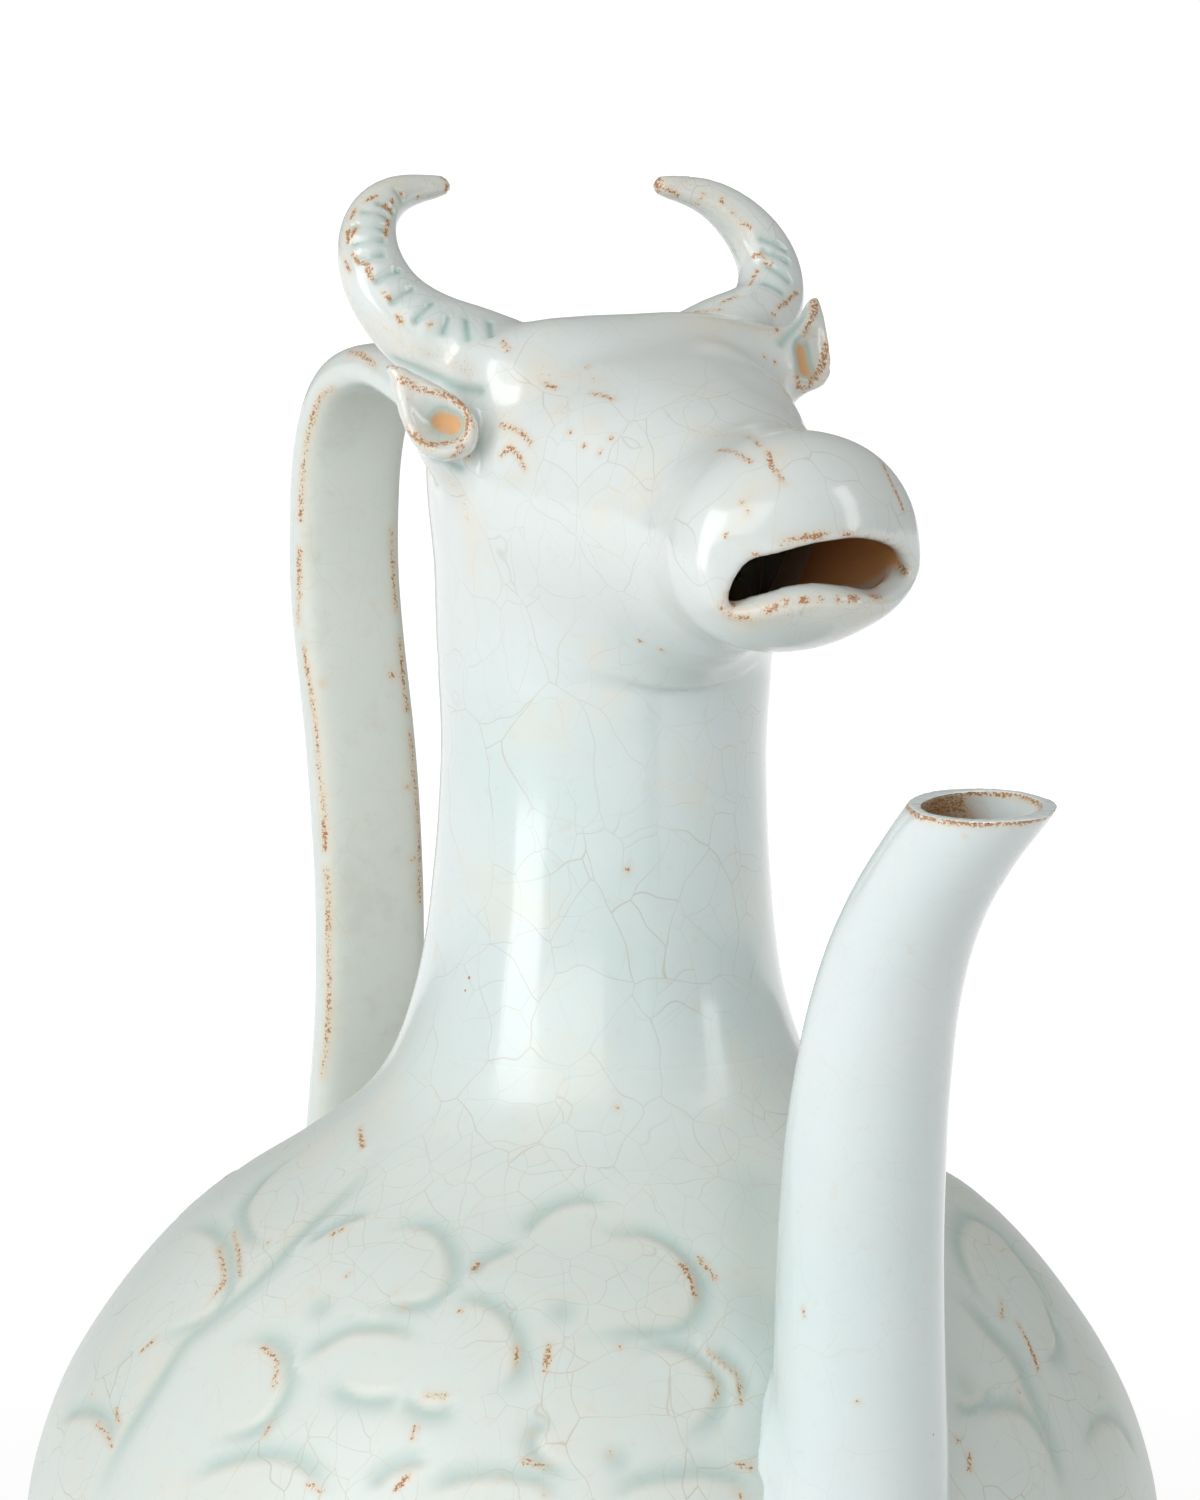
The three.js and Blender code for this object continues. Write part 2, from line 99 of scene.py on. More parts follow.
class EwerGlaze(bpy.types.PropertyGroup):
    glaze: bpy.props.FloatVectorProperty(
        name="Glaze", description="Pale bluish-white glaze", subtype="COLOR",
        default=(0.735, 0.818, 0.822), size=3, min=0, max=1)
    # Colour of thick glaze, also used for the painted shade along the spout's root
    pooled: bpy.props.FloatVectorProperty(
        name="Pooled glaze", description="Thick glaze, deeper in colour", subtype="COLOR",
        default=(0.31, 0.48, 0.45), size=3, min=0, max=1)
    cream: bpy.props.FloatVectorProperty(
        name="Thin glaze", description="Glaze so thin that the clay shows through",
        subtype="COLOR", default=(0.80, 0.76, 0.65), size=3, min=0, max=1)
    rust: bpy.props.FloatVectorProperty(
        name="Rust", description="Iron in the clay, burnt through the glaze",
        subtype="COLOR", default=(0.38, 0.14, 0.035), size=3, min=0, max=1)
    ochre: bpy.props.FloatVectorProperty(
        name="Ochre", description="Paler stain round a mark of iron", subtype="COLOR",
        default=(0.72, 0.47, 0.24), size=3, min=0, max=1)
    dull: bpy.props.FloatVectorProperty(
        name="Dull glaze", description="Greyish glaze on the strap's inner face",
        subtype="COLOR", default=(0.76, 0.78, 0.70), size=3, min=0, max=1)
    crackle: bpy.props.FloatVectorProperty(
        name="Crackle", description="Stain in the fine cracks", subtype="COLOR",
        default=(0.50, 0.42, 0.30), size=3, min=0, max=1)
    clay: bpy.props.FloatVectorProperty(
        name="Bare clay", description="Fired clay with no glaze", subtype="COLOR",
        default=(0.74, 0.39, 0.15), size=3, min=0, max=1)


class StudioLight(bpy.types.PropertyGroup):
    key_power: bpy.props.FloatProperty(
        name="Key light", description="Tall soft light at the left", default=7.1, unit="POWER")
    fill_power: bpy.props.FloatProperty(
        name="Fill light", description="Narrow soft light at the right", default=2.4,
        unit="POWER")
    front_power: bpy.props.FloatProperty(
        name="Front light", description="Broad soft light beside the camera", default=13,
        unit="POWER")
    top_power: bpy.props.FloatProperty(
        name="Top light", description="Wide soft light overhead", default=0.2, unit="POWER")
    sky_strength: bpy.props.FloatProperty(
        name="Room light", description="Even light of the white room", default=0.37)


# Fineness and tolerances of the modelling
WELD = 0.001 * MM
NEAR_PLANE = 0.01 * MM
QUAD_FOLD = math.radians(35)
QUAD_SKEW = math.radians(50)
SMOOTH_ANGLE = math.radians(50)
CURVE_STEPS = 24
LINE_SPACING = 0.4 * MM
OUTLINE_SPACING = 0.5 * MM
COARSE_ROW = 12 * MM
SAME_WALL = 0.2 * MM
LEAST_RISE = 1 * MM
AXIS_GUARD = 1 * MM
SMOOTH_ROUNDS = 5
SPOUT_SMOOTH_ROUNDS = 10

# The hand's unevenness: share and size of its slow and its fine waves
WOBBLE_WAVES = ((1, 17 * MM), (0.3, 3.3 * MM))
SWAY_INWARD = 1.7
SWAY_RISE = 20 * MM

# Depth of a hollow where thick glaze begins, and how much deeper it is fully thick
THICK_FROM = 0.2 * MM
THICK_SPAN = 0.6 * MM
THIN_SPAN = 0.5 * MM

# How the inside is told from the outside: start of the sight lines, share that is blocked
OFF_SURFACE = 0.4 * MM
HIDDEN_FROM_TO = (0.68, 0.95)
HIDDEN_ROUNDS = 3

# The thumb presses fully out to the core and not at all past the margin, as shares of its reach
THUMB_CORE = 0.4
THUMB_MARGIN = 1.3


# Viewpoint arithmetic

def view_axes():
    """Right, up and back of the camera that took the photograph, and its place."""
    azimuth, elevation, roll = VIEW_AZIMUTH, VIEW_ELEVATION, VIEW_ROLL
    back = Vector((math.sin(azimuth) * math.cos(elevation),
                   -math.cos(azimuth) * math.cos(elevation), math.sin(elevation)))
    level_right = Vector((math.cos(azimuth), math.sin(azimuth), 0))
    level_up = back.cross(level_right)
    right = level_right * math.cos(roll) + level_up * math.sin(roll)
    up = level_up * math.cos(roll) - level_right * math.sin(roll)
    place = Vector((0, 0, AIM_HEIGHT)) + level_right * AIM_OFFSET + back * VIEW_DISTANCE
    return right, up, back, place


def ray_through(x, y):
    """Start and direction of the sight line through a pixel of the photograph."""
    right, up, back, place = view_axes()
    per_pixel = SENSOR / LENS / PHOTO_HEIGHT
    sideways = (x - PHOTO_WIDTH / 2) * per_pixel
    upwards = (PHOTO_HEIGHT / 2 - y) * per_pixel
    return place, (right * sideways + up * upwards - back).normalized()


def seen_point(tree, x, y):
    """Where the sight line through a pixel meets a piece, or None."""
    start, direction = ray_through(x, y)
    return tree.ray_cast(start, direction)[0]


# Mesh helpers

def alone(*pieces):
    """Selects only these pieces; the first is the active one."""
    bpy.ops.object.select_all(action="DESELECT")
    for piece in pieces:
        piece.select_set(True)
    bpy.context.view_layer.objects.active = pieces[0]


def points(piece):
    flat = np.empty(len(piece.data.vertices) * 3)
    piece.data.vertices.foreach_get("co", flat)
    return flat.reshape(-1, 3)


def set_points(piece, places):
    piece.data.vertices.foreach_set("co", np.asarray(places, float).ravel())
    piece.data.update()


def normals(piece):
    flat = np.empty(len(piece.data.vertices) * 3)
    piece.data.vertex_normals.foreach_get("vector", flat)
    return flat.reshape(-1, 3)


def edges_of(piece):
    flat = np.empty(len(piece.data.edges) * 2, int)
    piece.data.edges.foreach_get("vertices", flat)
    return flat.reshape(-1, 2)


def neighbour_mean(values, edges, count):
    """Mean of each vertex's neighbours, for a value or a place."""
    total = np.zeros_like(values)
    degree = np.bincount(edges.ravel(), minlength=count).astype(float)
    for column in range(values.shape[1]):
        total[:, column] = (
            np.bincount(edges[:, 0], values[edges[:, 1], column], minlength=count)
            + np.bincount(edges[:, 1], values[edges[:, 0], column], minlength=count))
    return total / np.maximum(degree, 1)[:, None]


def apply_modifier(piece, kind, **settings):
    alone(piece)
    bpy.ops.object.modifier_add(type=kind)
    modifier = piece.modifiers[-1]
    for name, value in settings.items():
        setattr(modifier, name, value)
    bpy.ops.object.modifier_apply(modifier=modifier.name)


@contextmanager
def edit_mode(piece):
    """Edit mode on one piece, with all of it selected."""
    alone(piece)
    bpy.ops.object.mode_set(mode="EDIT")
    bpy.ops.mesh.select_all(action="SELECT")
    yield
    bpy.ops.object.mode_set(mode="OBJECT")


def linked(name, mesh):
    """A new object for a mesh, in the scene and of the same name."""
    mesh.name = name
    piece = bpy.data.objects.new(name, mesh)
    bpy.context.scene.collection.objects.link(piece)
    return piece


def copy_of(node, name):
    """A clean copy of a CAD node's mesh, with its loose triangles joined into quads."""
    piece = linked(name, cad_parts[node].data.copy())
    alone(piece)
    if piece.data.has_custom_normals:
        bpy.ops.mesh.customdata_custom_splitnormals_clear()
    with edit_mode(piece):
        bpy.ops.mesh.remove_doubles(threshold=WELD)
        bpy.ops.mesh.tris_convert_to_quads(
            face_threshold=QUAD_FOLD, shape_threshold=QUAD_SKEW)
    return piece


def tree_of(piece):
    """A search tree of a piece's faces, for sight lines."""
    places = [Vector(place) for place in points(piece)]
    return BVHTree.FromPolygons(places, [tuple(face.vertices) for face in piece.data.polygons])


def finder_of(places):
    """A search tree of places, for the nearest one."""
    finder = KDTree(len(places))
    for i, place in enumerate(places):
        finder.insert(Vector(place), i)
    finder.balance()
    return finder


def steps_along(line):
    """How far along a line each of its points lies."""
    return np.concatenate([[0], np.cumsum(np.linalg.norm(np.diff(line, axis=0), axis=1))])


def sampled(line, run, wanted):
    """The points of a line at some distances along it."""
    return np.column_stack([np.interp(wanted, run, column) for column in line.T])


def smooth_through(stops, spacing):
    """Evenly spaced points along a smooth curve through the stops."""
    stops = np.asarray(stops, float)
    padded = np.vstack([2 * stops[0] - stops[1], stops, 2 * stops[-1] - stops[-2]])
    dense = []
    for i in range(len(stops) - 1):
        a, b, c, d = padded[i:i + 4]
        for t in np.linspace(0, 1, CURVE_STEPS, endpoint=False):
            dense.append(0.5 * (2 * b + (c - a) * t + (2 * a - 5 * b + 4 * c - d) * t ** 2
                                + (3 * b - a - 3 * c + d) * t ** 3))
    dense = np.vstack([dense, stops[-1]])
    run = steps_along(dense)
    count = max(1, round(run[-1] / spacing))
    return sampled(dense, run, np.linspace(0, run[-1], count + 1))


def wobble(places, amount):
    """The unevenness of a hand-made surface, slow and fine, the same where pieces meet."""
    total = 0
    for share, size in WOBBLE_WAVES:
        x, y, z = places.T / size
        total = total + share * (np.sin(0.9 * x + 1.3 * np.sin(0.7 * z + 0.4 * y))
                                 + np.sin(1.1 * y - 0.8 * z + 1.7)
                                 + np.sin(0.6 * z + 0.9 * x - 0.5 * y + 0.3))
    return amount * total / 3


def record_values(piece, name, values):
    """Keeps a value from 0 to 1 for each vertex, for the glaze to read."""
    attribute = piece.data.attributes.get(name)
    if attribute is None:
        attribute = piece.data.attributes.new(name, "FLOAT", "POINT")
    attribute.data.foreach_set("value", np.clip(values, 0, 1).astype(np.float32))


def hollowness(piece, rounds):
    """How far each vertex lies below (+) or above (-) its smoothed surroundings, metres."""
    places = points(piece)
    edges = edges_of(piece)
    smoothed = places.copy()
    for _ in range(rounds):
        smoothed = neighbour_mean(smoothed, edges, len(places))
    return np.einsum("ij,ij->i", smoothed - places, normals(piece))


def record_glaze_run(piece, rounds=14, edge=0.62 * MM):
    """Thick glaze lies in hollows, and thin glaze on edges sharper than a horn's side."""
    depth = hollowness(piece, rounds)
    record_values(piece, "pooled", (depth - THICK_FROM) / THICK_SPAN)
    record_values(piece, "worn", (-depth - edge) / THIN_SPAN)


def smooth_step(values, low, high):
    share = np.clip((values - low) / (high - low), 0, 1)
    return share * share * (3 - 2 * share)


def hidden_share(piece, far=60 * MM):
    """1 on the inside, where the piece itself walls in a place on every side, else 0."""
    tree = tree_of(piece)
    places, sides = points(piece), normals(piece)
    blocked = np.zeros((len(places), 1))
    for i, (place, side) in enumerate(zip(places, sides)):
        side = Vector(side)
        start = Vector(place) + side * OFF_SURFACE
        across = side.orthogonal().normalized()
        other = side.cross(across)
        tilts = (side, side + across, side - across, side + other, side - other)
        for tilt in tilts:
            if tree.ray_cast(start, tilt.normalized(), far)[0] is not None:
                blocked[i] += 1 / len(tilts)
    edges = edges_of(piece)
    for _ in range(HIDDEN_ROUNDS):
        blocked = neighbour_mean(blocked, edges, len(places))
    return smooth_step(blocked[:, 0], *HIDDEN_FROM_TO)


def seen_points(tree, stops):
    """Where some pixels of the photograph meet a piece, without those that miss it."""
    found = [seen_point(tree, *stop) for stop in stops]
    return np.array([place for place in found if place is not None])


def seen_lines(tree, lines):
    """Lines of the photograph laid on a piece, each as closely spaced places."""
    found = [seen_points(tree, stops) for stops in lines]
    return [smooth_through(places, LINE_SPACING) if len(places) > 1 else places
            for places in found if len(places)]


def nearness(piece, lines, reach):
    """For each vertex 1 on a line, falling smoothly to 0 at about twice the reach."""
    places = points(piece)
    marked = np.vstack(lines)
    finder = finder_of(marked)
    low, high = marked.min(axis=0) - 3 * reach, marked.max(axis=0) + 3 * reach
    close = np.flatnonzero(np.all((places > low) & (places < high), axis=1))
    value = np.zeros(len(places))
    for i in close:
        value[i] = math.exp(-(finder.find(Vector(places[i]))[2] / reach) ** 2)
    return value


def refine_near(piece, lines, reach):
    """Halves the faces near some lines, so that fine work shows on them."""
    near = nearness(piece, lines, reach) > math.exp(-1)
    with edit_mode(piece):
        bpy.ops.mesh.select_mode(type="VERT")
        bpy.ops.mesh.select_all(action="DESELECT")
    piece.data.vertices.foreach_set("select", near)
    bpy.ops.object.mode_set(mode="EDIT")
    bpy.ops.mesh.select_mode(type="VERT")
    bpy.ops.mesh.subdivide(number_cuts=1)
    bpy.ops.object.mode_set(mode="OBJECT")


def dent(piece, depths):
    """Presses each vertex in along its normal."""
    set_points(piece, points(piece) - normals(piece) * depths[:, None])


def soften(piece, centre, reach, rounds):
    """Thumbs the clay smooth round a place, fading out with distance."""
    places = points(piece)
    away = np.linalg.norm(places - np.asarray(centre), axis=1)
    weight = (1 - smooth_step(away, THUMB_CORE * reach, reach))[:, None]
    edges = edges_of(piece)
    near = away < THUMB_MARGIN * reach
    edges = edges[near[edges[:, 0]] & near[edges[:, 1]]]
    for _ in range(rounds):
        mean = neighbour_mean(places, edges, len(places))
        places = places + (mean - places) * weight * mean.any(axis=1)[:, None]
    set_points(piece, places)


def add_values(piece, name, values):
    """Raises a kept value where the new one is higher."""
    attribute = piece.data.attributes.get(name)
    before = np.zeros(len(piece.data.vertices), np.float32)
    if attribute is not None:
        attribute.data.foreach_get("value", before)
    record_values(piece, name, np.maximum(before, values))


# Thrown body

def half_section(piece):
    """The corners, radius and height, of a turned CAD piece on the plane y = 0."""
    places = points(piece)
    section = places[(np.abs(places[:, 1]) < NEAR_PLANE) & (places[:, 0] > 0)]
    return np.unique(section[:, [0, 2]].round(6), axis=0)


def wall_stops(outside):
    """Corner points of the thrown wall, outside or inside, as radius and height."""
    stops = []
    for node in ("lower_body", "upper_body", "neck"):
        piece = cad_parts[node]
        tree = tree_of(piece)
        low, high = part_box(node)[0].z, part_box(node)[1].z
        for radius, height in half_section(piece):
            level = min(max(height, low + 2 * NEAR_PLANE), high - 2 * NEAR_PLANE)
            hit = tree.ray_cast(Vector((1, 0, level)), Vector((-1, 0, 0)))[0]
            if (abs(hit.x - radius) < SAME_WALL) == outside:
                stops.append((radius, height))
    stops.sort(key=lambda stop: stop[1])
    kept = [stops[0]]
    for stop in stops[1:]:
        if stop[1] - kept[-1][1] > LEAST_RISE:
            kept.append(stop)
    kept[-1] = stops[-1]
    return kept


# A narrow first and last row lets the shading run on over the seam of two thrown pieces
SEAM_ROW = 0.12 * MM
OUTSIDE = smooth_through(wall_stops(True), OUTLINE_SPACING)
INSIDE = smooth_through(wall_stops(False), OUTLINE_SPACING)


def radius_at(height, outline=OUTSIDE):
    return np.interp(height, outline[:, 1], outline[:, 0])


def outline_between(outline, low, high, spacing):
    """Evenly spaced points of an outline between two heights."""
    inner = outline[(outline[:, 1] > low) & (outline[:, 1] < high)]
    ends = [(radius_at(height, outline), height) for height in (low, high)]
    whole = np.vstack([ends[0], inner, ends[1]])
    run = steps_along(whole)
    wanted = np.linspace(0, run[-1], max(2, round(run[-1] / spacing)) + 1)
    wanted = np.insert(wanted, [1, len(wanted) - 1], [SEAM_ROW, run[-1] - SEAM_ROW])
    return sampled(whole, run, wanted)


def wall_profile(low, high, outer_row, inner_row):
    """Section of the thrown wall between two heights: up the outside, down the inside."""
    return np.vstack([outline_between(OUTSIDE, low, high, outer_row),
                      outline_between(INSIDE, low, high, inner_row)[::-1]])


def outward(places):
    """Outward direction of the thrown wall at places on it."""
    step = 1 * MM
    heights = places[:, 2]
    lean = (radius_at(heights + step) - radius_at(heights - step)) / (2 * step)
    across = places[:, :2] / np.linalg.norm(places[:, :2], axis=1)[:, None]
    direction = np.column_stack([across, -lean])
    return direction / np.linalg.norm(direction, axis=1)[:, None]


def thrown(name, profile, steps):
    """Turns a profile of radius and height about the wheel's axis."""
    places = [(radius, 0, height) for radius, height in profile]
    edges = [(i, i + 1) for i in range(len(places) - 1)]
    if places[0][0] > 0:
        edges.append((len(places) - 1, 0))
    mesh = bpy.data.meshes.new(name)
    mesh.from_pydata(places, edges, [])
    piece = linked(name, mesh)
    apply_modifier(piece, "SCREW", axis="Z", steps=steps, render_steps=steps,
                   use_smooth_shade=False)
    with edit_mode(piece):
        bpy.ops.mesh.remove_doubles(threshold=2 * WELD)
        bpy.ops.mesh.normals_make_consistent(inside=False)
    return piece


# Carved scrolls: the knife's path, clockwise round each lobe, as seen in the photograph
LOBES = (
    ((305, 1244), (335, 1224), (371, 1211)),
    ((389, 1229), (417, 1224), (440, 1234), (452, 1260), (448, 1283), (430, 1298), (404, 1303),
     (371, 1306)),
    ((239, 1340), (264, 1340), (282, 1354), (286, 1380), (274, 1405), (254, 1426), (213, 1441)),
    ((295, 1362), (330, 1339), (353, 1329), (392, 1329), (417, 1339)),
    ((404, 1392), (379, 1397), (353, 1395), (338, 1385), (338, 1374)),
    ((188, 1479), (239, 1459), (277, 1456), (302, 1466), (330, 1492)),
    ((369, 1492), (392, 1469), (430, 1459)),
    ((458, 1403), (438, 1410), (417, 1405), (410, 1390)),
    ((525, 1237), (538, 1219), (558, 1206), (584, 1200), (609, 1205)),
    ((594, 1224), (617, 1234), (645, 1234), (670, 1244), (693, 1265), (702, 1290), (696, 1313),
     (676, 1326), (642, 1329), (584, 1334)),
    ((477, 1275), (484, 1262), (502, 1252), (522, 1244)),
    ((451, 1300), (477, 1300), (502, 1313), (517, 1334), (522, 1359), (512, 1380), (494, 1390)),
    ((637, 1354), (663, 1346), (688, 1352), (709, 1367), (721, 1387), (719, 1405), (701, 1426),
     (683, 1438)),
    ((709, 1349), (729, 1362), (742, 1377), (742, 1403)),
    ((573, 1471), (553, 1466), (538, 1451), (538, 1433), (558, 1420)),
    ((425, 1494), (451, 1482), (482, 1475), (515, 1477), (543, 1484), (563, 1500)),
    ((612, 1500), (640, 1484), (676, 1478), (706, 1475), (739, 1482), (757, 1500)),
    ((185, 1227), (205, 1229), (220, 1243), (226, 1262), (223, 1293), (205, 1316), (175, 1329),
     (157, 1334)),
    ((266, 1244), (251, 1234), (244, 1209), (254, 1190), (275, 1168), (300, 1152)),
    ((60, 1420), (80, 1411), (98, 1417), (108, 1431), (111, 1448)),
    ((997, 1311), (981, 1292), (968, 1265), (962, 1238), (972, 1218), (997, 1230), (1021, 1257),
     (1043, 1289), (1059, 1324)),
    ((1041, 1292), (1053, 1318), (1060, 1346), (1048, 1362)),
    ((992, 1386), (986, 1402), (970, 1407), (952, 1399)),
    ((976, 1420), (997, 1407), (1024, 1412), (1043, 1434), (1059, 1466), (1064, 1498)),
    ((1086, 1447), (1099, 1423), (1115, 1418), (1128, 1434), (1142, 1466)),
)
PANEL_EDGES = (
    ((379, 1150), (353, 1181), (315, 1216), (277, 1255), (249, 1283), (213, 1313), (182, 1339),
     (162, 1369), (144, 1397), (121, 1436), (101, 1479), (91, 1505)),
    ((949, 1289), (973, 1311), (994, 1335), (1016, 1359), (1030, 1390), (1050, 1440),
     (1066, 1500)),
)
BODY_IRON = (
    ((216, 1248), (221, 1268), (220, 1285), (213, 1295)), ((231, 1232), (236, 1252), (238, 1275)),
    ((266, 1243),), ((152, 1340), (139, 1352)), ((359, 1128), (362, 1147)), ((402, 1306),),
    ((460, 1311),), ((473, 1270), (478, 1262)), ((516, 1348), (516, 1366)),
    ((549, 1346), (545, 1372)), ((262, 1348), (275, 1362), (273, 1386)),
    ((332, 1234), (343, 1228)), ((347, 1274),), ((681, 1264), (690, 1278), (696, 1297)),
    ((700, 1258), (716, 1279)), ((709, 1352), (724, 1363), (740, 1378), (741, 1402)),
    ((711, 1374), (720, 1388), (715, 1399)), ((620, 1348),), ((416, 1427), (412, 1440)),
    ((424, 1396), (445, 1397)), ((530, 1434),), ((524, 1462), (547, 1467)), ((545, 1496),),
    ((95, 1424), (104, 1434), (110, 1447)), ((113, 1410), (118, 1424)), ((90, 1393),),
    ((610, 1455),), ((740, 1465), (753, 1468)), ((737, 1491), (742, 1498)),
    ((396, 1490), (408, 1477)), ((308, 1485), (320, 1492)), ((264, 1436), (268, 1422)),
    ((1003, 1302), (1003, 1318)), ((1019, 1323), (1031, 1346), (1040, 1371)), ((1020, 1393),),
    ((1023, 1407),), ((958, 1440),), ((970, 1454), (970, 1471)), ((616, 1108),), ((434, 954),),
    ((636, 655),), ((696, 1004),), ((360, 1139),), ((628, 870),),
)
# Line on the body along the spout's root: pooled glaze and painted shade where the spout shades
# the body
ROOT_SHADE_AND_POOL_LINES = (((753, 1190), (756, 1250), (758, 1320), (761, 1400), (764, 1470)),)
IRON_WIDTH = 1.1 * MM

# The thumb's hollows in pixels, and the widths and shares of the knife's cut and crest
THUMB_HOLLOWS = ((564, 1311), (620, 1460), (320, 1306), (968, 1386))
LOBE_CUT = {"inside": 1.1 * MM, "outside": 2.8 * MM, "depth": 1.0}
PANEL_CUT = {"inside": 1.8 * MM, "outside": 3.4 * MM, "depth": 0.9}
CUT_END = 1.5 * MM
CREST_OFFSET = 1.8 * MM
CREST_WIDTH = 0.7 * MM
CREST_RISE = 0.2
PAD_WIDTH = 6 * MM
HOLLOW_RADIUS = 2.8 * MM
HOLLOW_SHARE = 0.6

# The height about which the scrolls are mirrored below the belly
PATTERN_FOLD = 0.107

# A stroke's pressure grows from its tips, and its cuts hold glaze that the crests lose
STROKE_SPACING = 1 * MM
STROKE_LEAD = 5
LIGHTEST_PRESS = 0.15
WALL_TOLERANCE = 0.4 * MM
CUT_POOL = 0.85
CREST_WEAR = 0.45
PAD_WEAR = 0.35
# Strength and width of the pooled glaze and painted shade along the spout's root
ROOT_SHADE_AND_POOL_STRENGTH = 0.4
ROOT_SHADE_AND_POOL_WIDTH = 6 * MM


def repeated(path):
    """The stroke, its copy on the far side, and both again below the belly."""
    turned = path * (-1, -1, 1)
    for places in (path, turned):
        yield places, 1
        below = places.copy()
        below[:, 2] = 2 * PATTERN_FOLD - places[:, 2]
        below[:, :2] *= (radius_at(below[:, 2])
                         / np.linalg.norm(places[:, :2], axis=1))[:, None]
        yield below, -1


def knife_marks(tree):
    """Sample places of all strokes: place, inward side, kind of cut and pressure."""
    marks = []
    for strokes, cut in ((LOBES, LOBE_CUT), (PANEL_EDGES, PANEL_CUT)):
        for stops in strokes:
            path = seen_points(tree, stops)
            if len(path) < 2:
                continue
            for places, hand in repeated(path):
                line = smooth_through(places, STROKE_SPACING)
                along = np.gradient(line, axis=0)
                inside = np.cross(along, outward(line)) * hand
                inside /= np.linalg.norm(inside, axis=1)[:, None]
                share = np.linspace(0, 1, len(line))
                lead = np.minimum(share, 1 - share) * STROKE_LEAD
                pressure = np.clip(lead, LIGHTEST_PRESS, 1)
                for place, side, press in zip(line, inside, pressure):
                    marks.append((place, side, cut, press))
    return marks


def carve(piece, marks, hollows, depth):
    """Cuts the scrolls into the outside of a thrown piece and lets glaze pool in the cuts."""
    places = points(piece)
    radius = np.linalg.norm(places[:, :2], axis=1)
    wall = radius_at(places[:, 2])
    on_outside = np.abs(radius - wall) < WALL_TOLERANCE
    finder = finder_of([mark[0] for mark in marks])
    drop, pooled, worn = np.zeros((3, len(places)))
    reach = 3 * PANEL_CUT["outside"]
    for i in np.flatnonzero(on_outside):
        _, nearest, distance = finder.find(Vector(places[i]))
        if distance > reach:
            continue
        place, side, cut, press = marks[nearest]
        across = float(np.dot(places[i] - place, side))
        beyond = max(0.0, distance ** 2 - across ** 2) ** 0.5
        fade = press * math.exp(-(beyond / CUT_END) ** 2)
        width = cut["inside"] if across > 0 else cut["outside"]
        groove = math.exp(-(across / width) ** 2)
        crest = math.exp(-((across - CREST_OFFSET) / CREST_WIDTH) ** 2)
        pad = math.exp(-(across / PAD_WIDTH) ** 2) if across > 0 else 0
        drop[i] = fade * (cut["depth"] * groove - CREST_RISE * crest)
        pooled[i] = CUT_POOL * fade * groove
        wear = max(CREST_WEAR * crest, PAD_WEAR * pad)
        worn[i] = press * math.exp(-(beyond / PAD_WIDTH) ** 2) * wear
    for hollow in hollows:
        away = np.linalg.norm(places - hollow, axis=1)
        dip = np.exp(-(away / HOLLOW_RADIUS) ** 2) * on_outside
        drop += HOLLOW_SHARE * dip
        pooled = np.maximum(pooled, HOLLOW_SHARE * dip)
    sides = np.zeros_like(places)
    sides[on_outside] = outward(places[on_outside])
    set_points(piece, places - sides * (drop * depth)[:, None])
    record_values(piece, "pooled", pooled)
    record_values(piece, "worn", worn)


def sway(piece, amount):
    """Moves every place by one field, drawn in so that nothing passes its CAD outline."""
    places = points(piece)
    shift = np.column_stack([wobble(places, amount), wobble(places[:, [1, 2, 0]], amount),
                             wobble(places[:, [2, 0, 1]], amount)])
    radius = np.maximum(np.linalg.norm(places[:, :2], axis=1), AXIS_GUARD)
    shift[:, :2] -= SWAY_INWARD * amount * places[:, :2] / radius[:, None]
    rise = np.clip(places[:, 2] / SWAY_RISE, 0, 1)
    set_points(piece, places + shift * rise[:, None])


class EWER_OT_throw_body(bpy.types.Operator):
    """Throws the round body and the neck, and carves the scrolls"""
    bl_idname = "ewer.throw_body"
    bl_label = "Throw and carve the body"

    def execute(self, context):
        sizes = context.scene.ewer_sizes
        row, around = sizes.row, sizes.around
        floor = wall_stops(False)[0][1]
        lower = np.vstack([
            [(0, FOOT_TOP)],
            outline_between(OUTSIDE, FOOT_TOP, BELLY_HEIGHT, row),
            outline_between(INSIDE, floor, BELLY_HEIGHT, COARSE_ROW)[::-1],
            [(0, floor)]])
        upper = wall_profile(BELLY_HEIGHT, NECK_FOOT, row, COARSE_ROW)
        neck = wall_profile(NECK_FOOT, NECK_TOP, 2 * row, COARSE_ROW)
        pieces = [thrown("carved_lower_body", lower, around),
                  thrown("carved_upper_body", upper, around),
                  thrown("thrown_neck", neck, around)]
        trees = [tree_of(piece) for piece in pieces]
        marks = knife_marks(trees[0]) + knife_marks(trees[1])
        hollows = seen_points(trees[1], THUMB_HOLLOWS)
        hollows = np.vstack([hollows, hollows * (-1, -1, 1)])
        for piece in pieces[:2]:
            carve(piece, marks, hollows, sizes.carving_depth)
        nodes = ("lower_body", "upper_body", "neck")
        for piece, tree, node in zip(pieces, trees, nodes):
            lines = seen_lines(tree, BODY_IRON)
            if lines:
                lines += [line * (-1, -1, 1) for line in lines]
                record_values(piece, "marks", nearness(piece, lines, IRON_WIDTH))
            # Pooled glaze and painted shade along the spout's root, laid into the pooled-glaze
            # attribute
            shade_and_pool_lines = seen_lines(tree, ROOT_SHADE_AND_POOL_LINES)
            if shade_and_pool_lines:
                add_values(piece, "pooled", ROOT_SHADE_AND_POOL_STRENGTH * nearness(piece, shade_and_pool_lines, ROOT_SHADE_AND_POOL_WIDTH))
            sway(piece, sizes.hand_wobble)
            finish_piece(piece, "glaze", BODY_LOOK, node)
        return {"FINISHED"}


# Modelled head

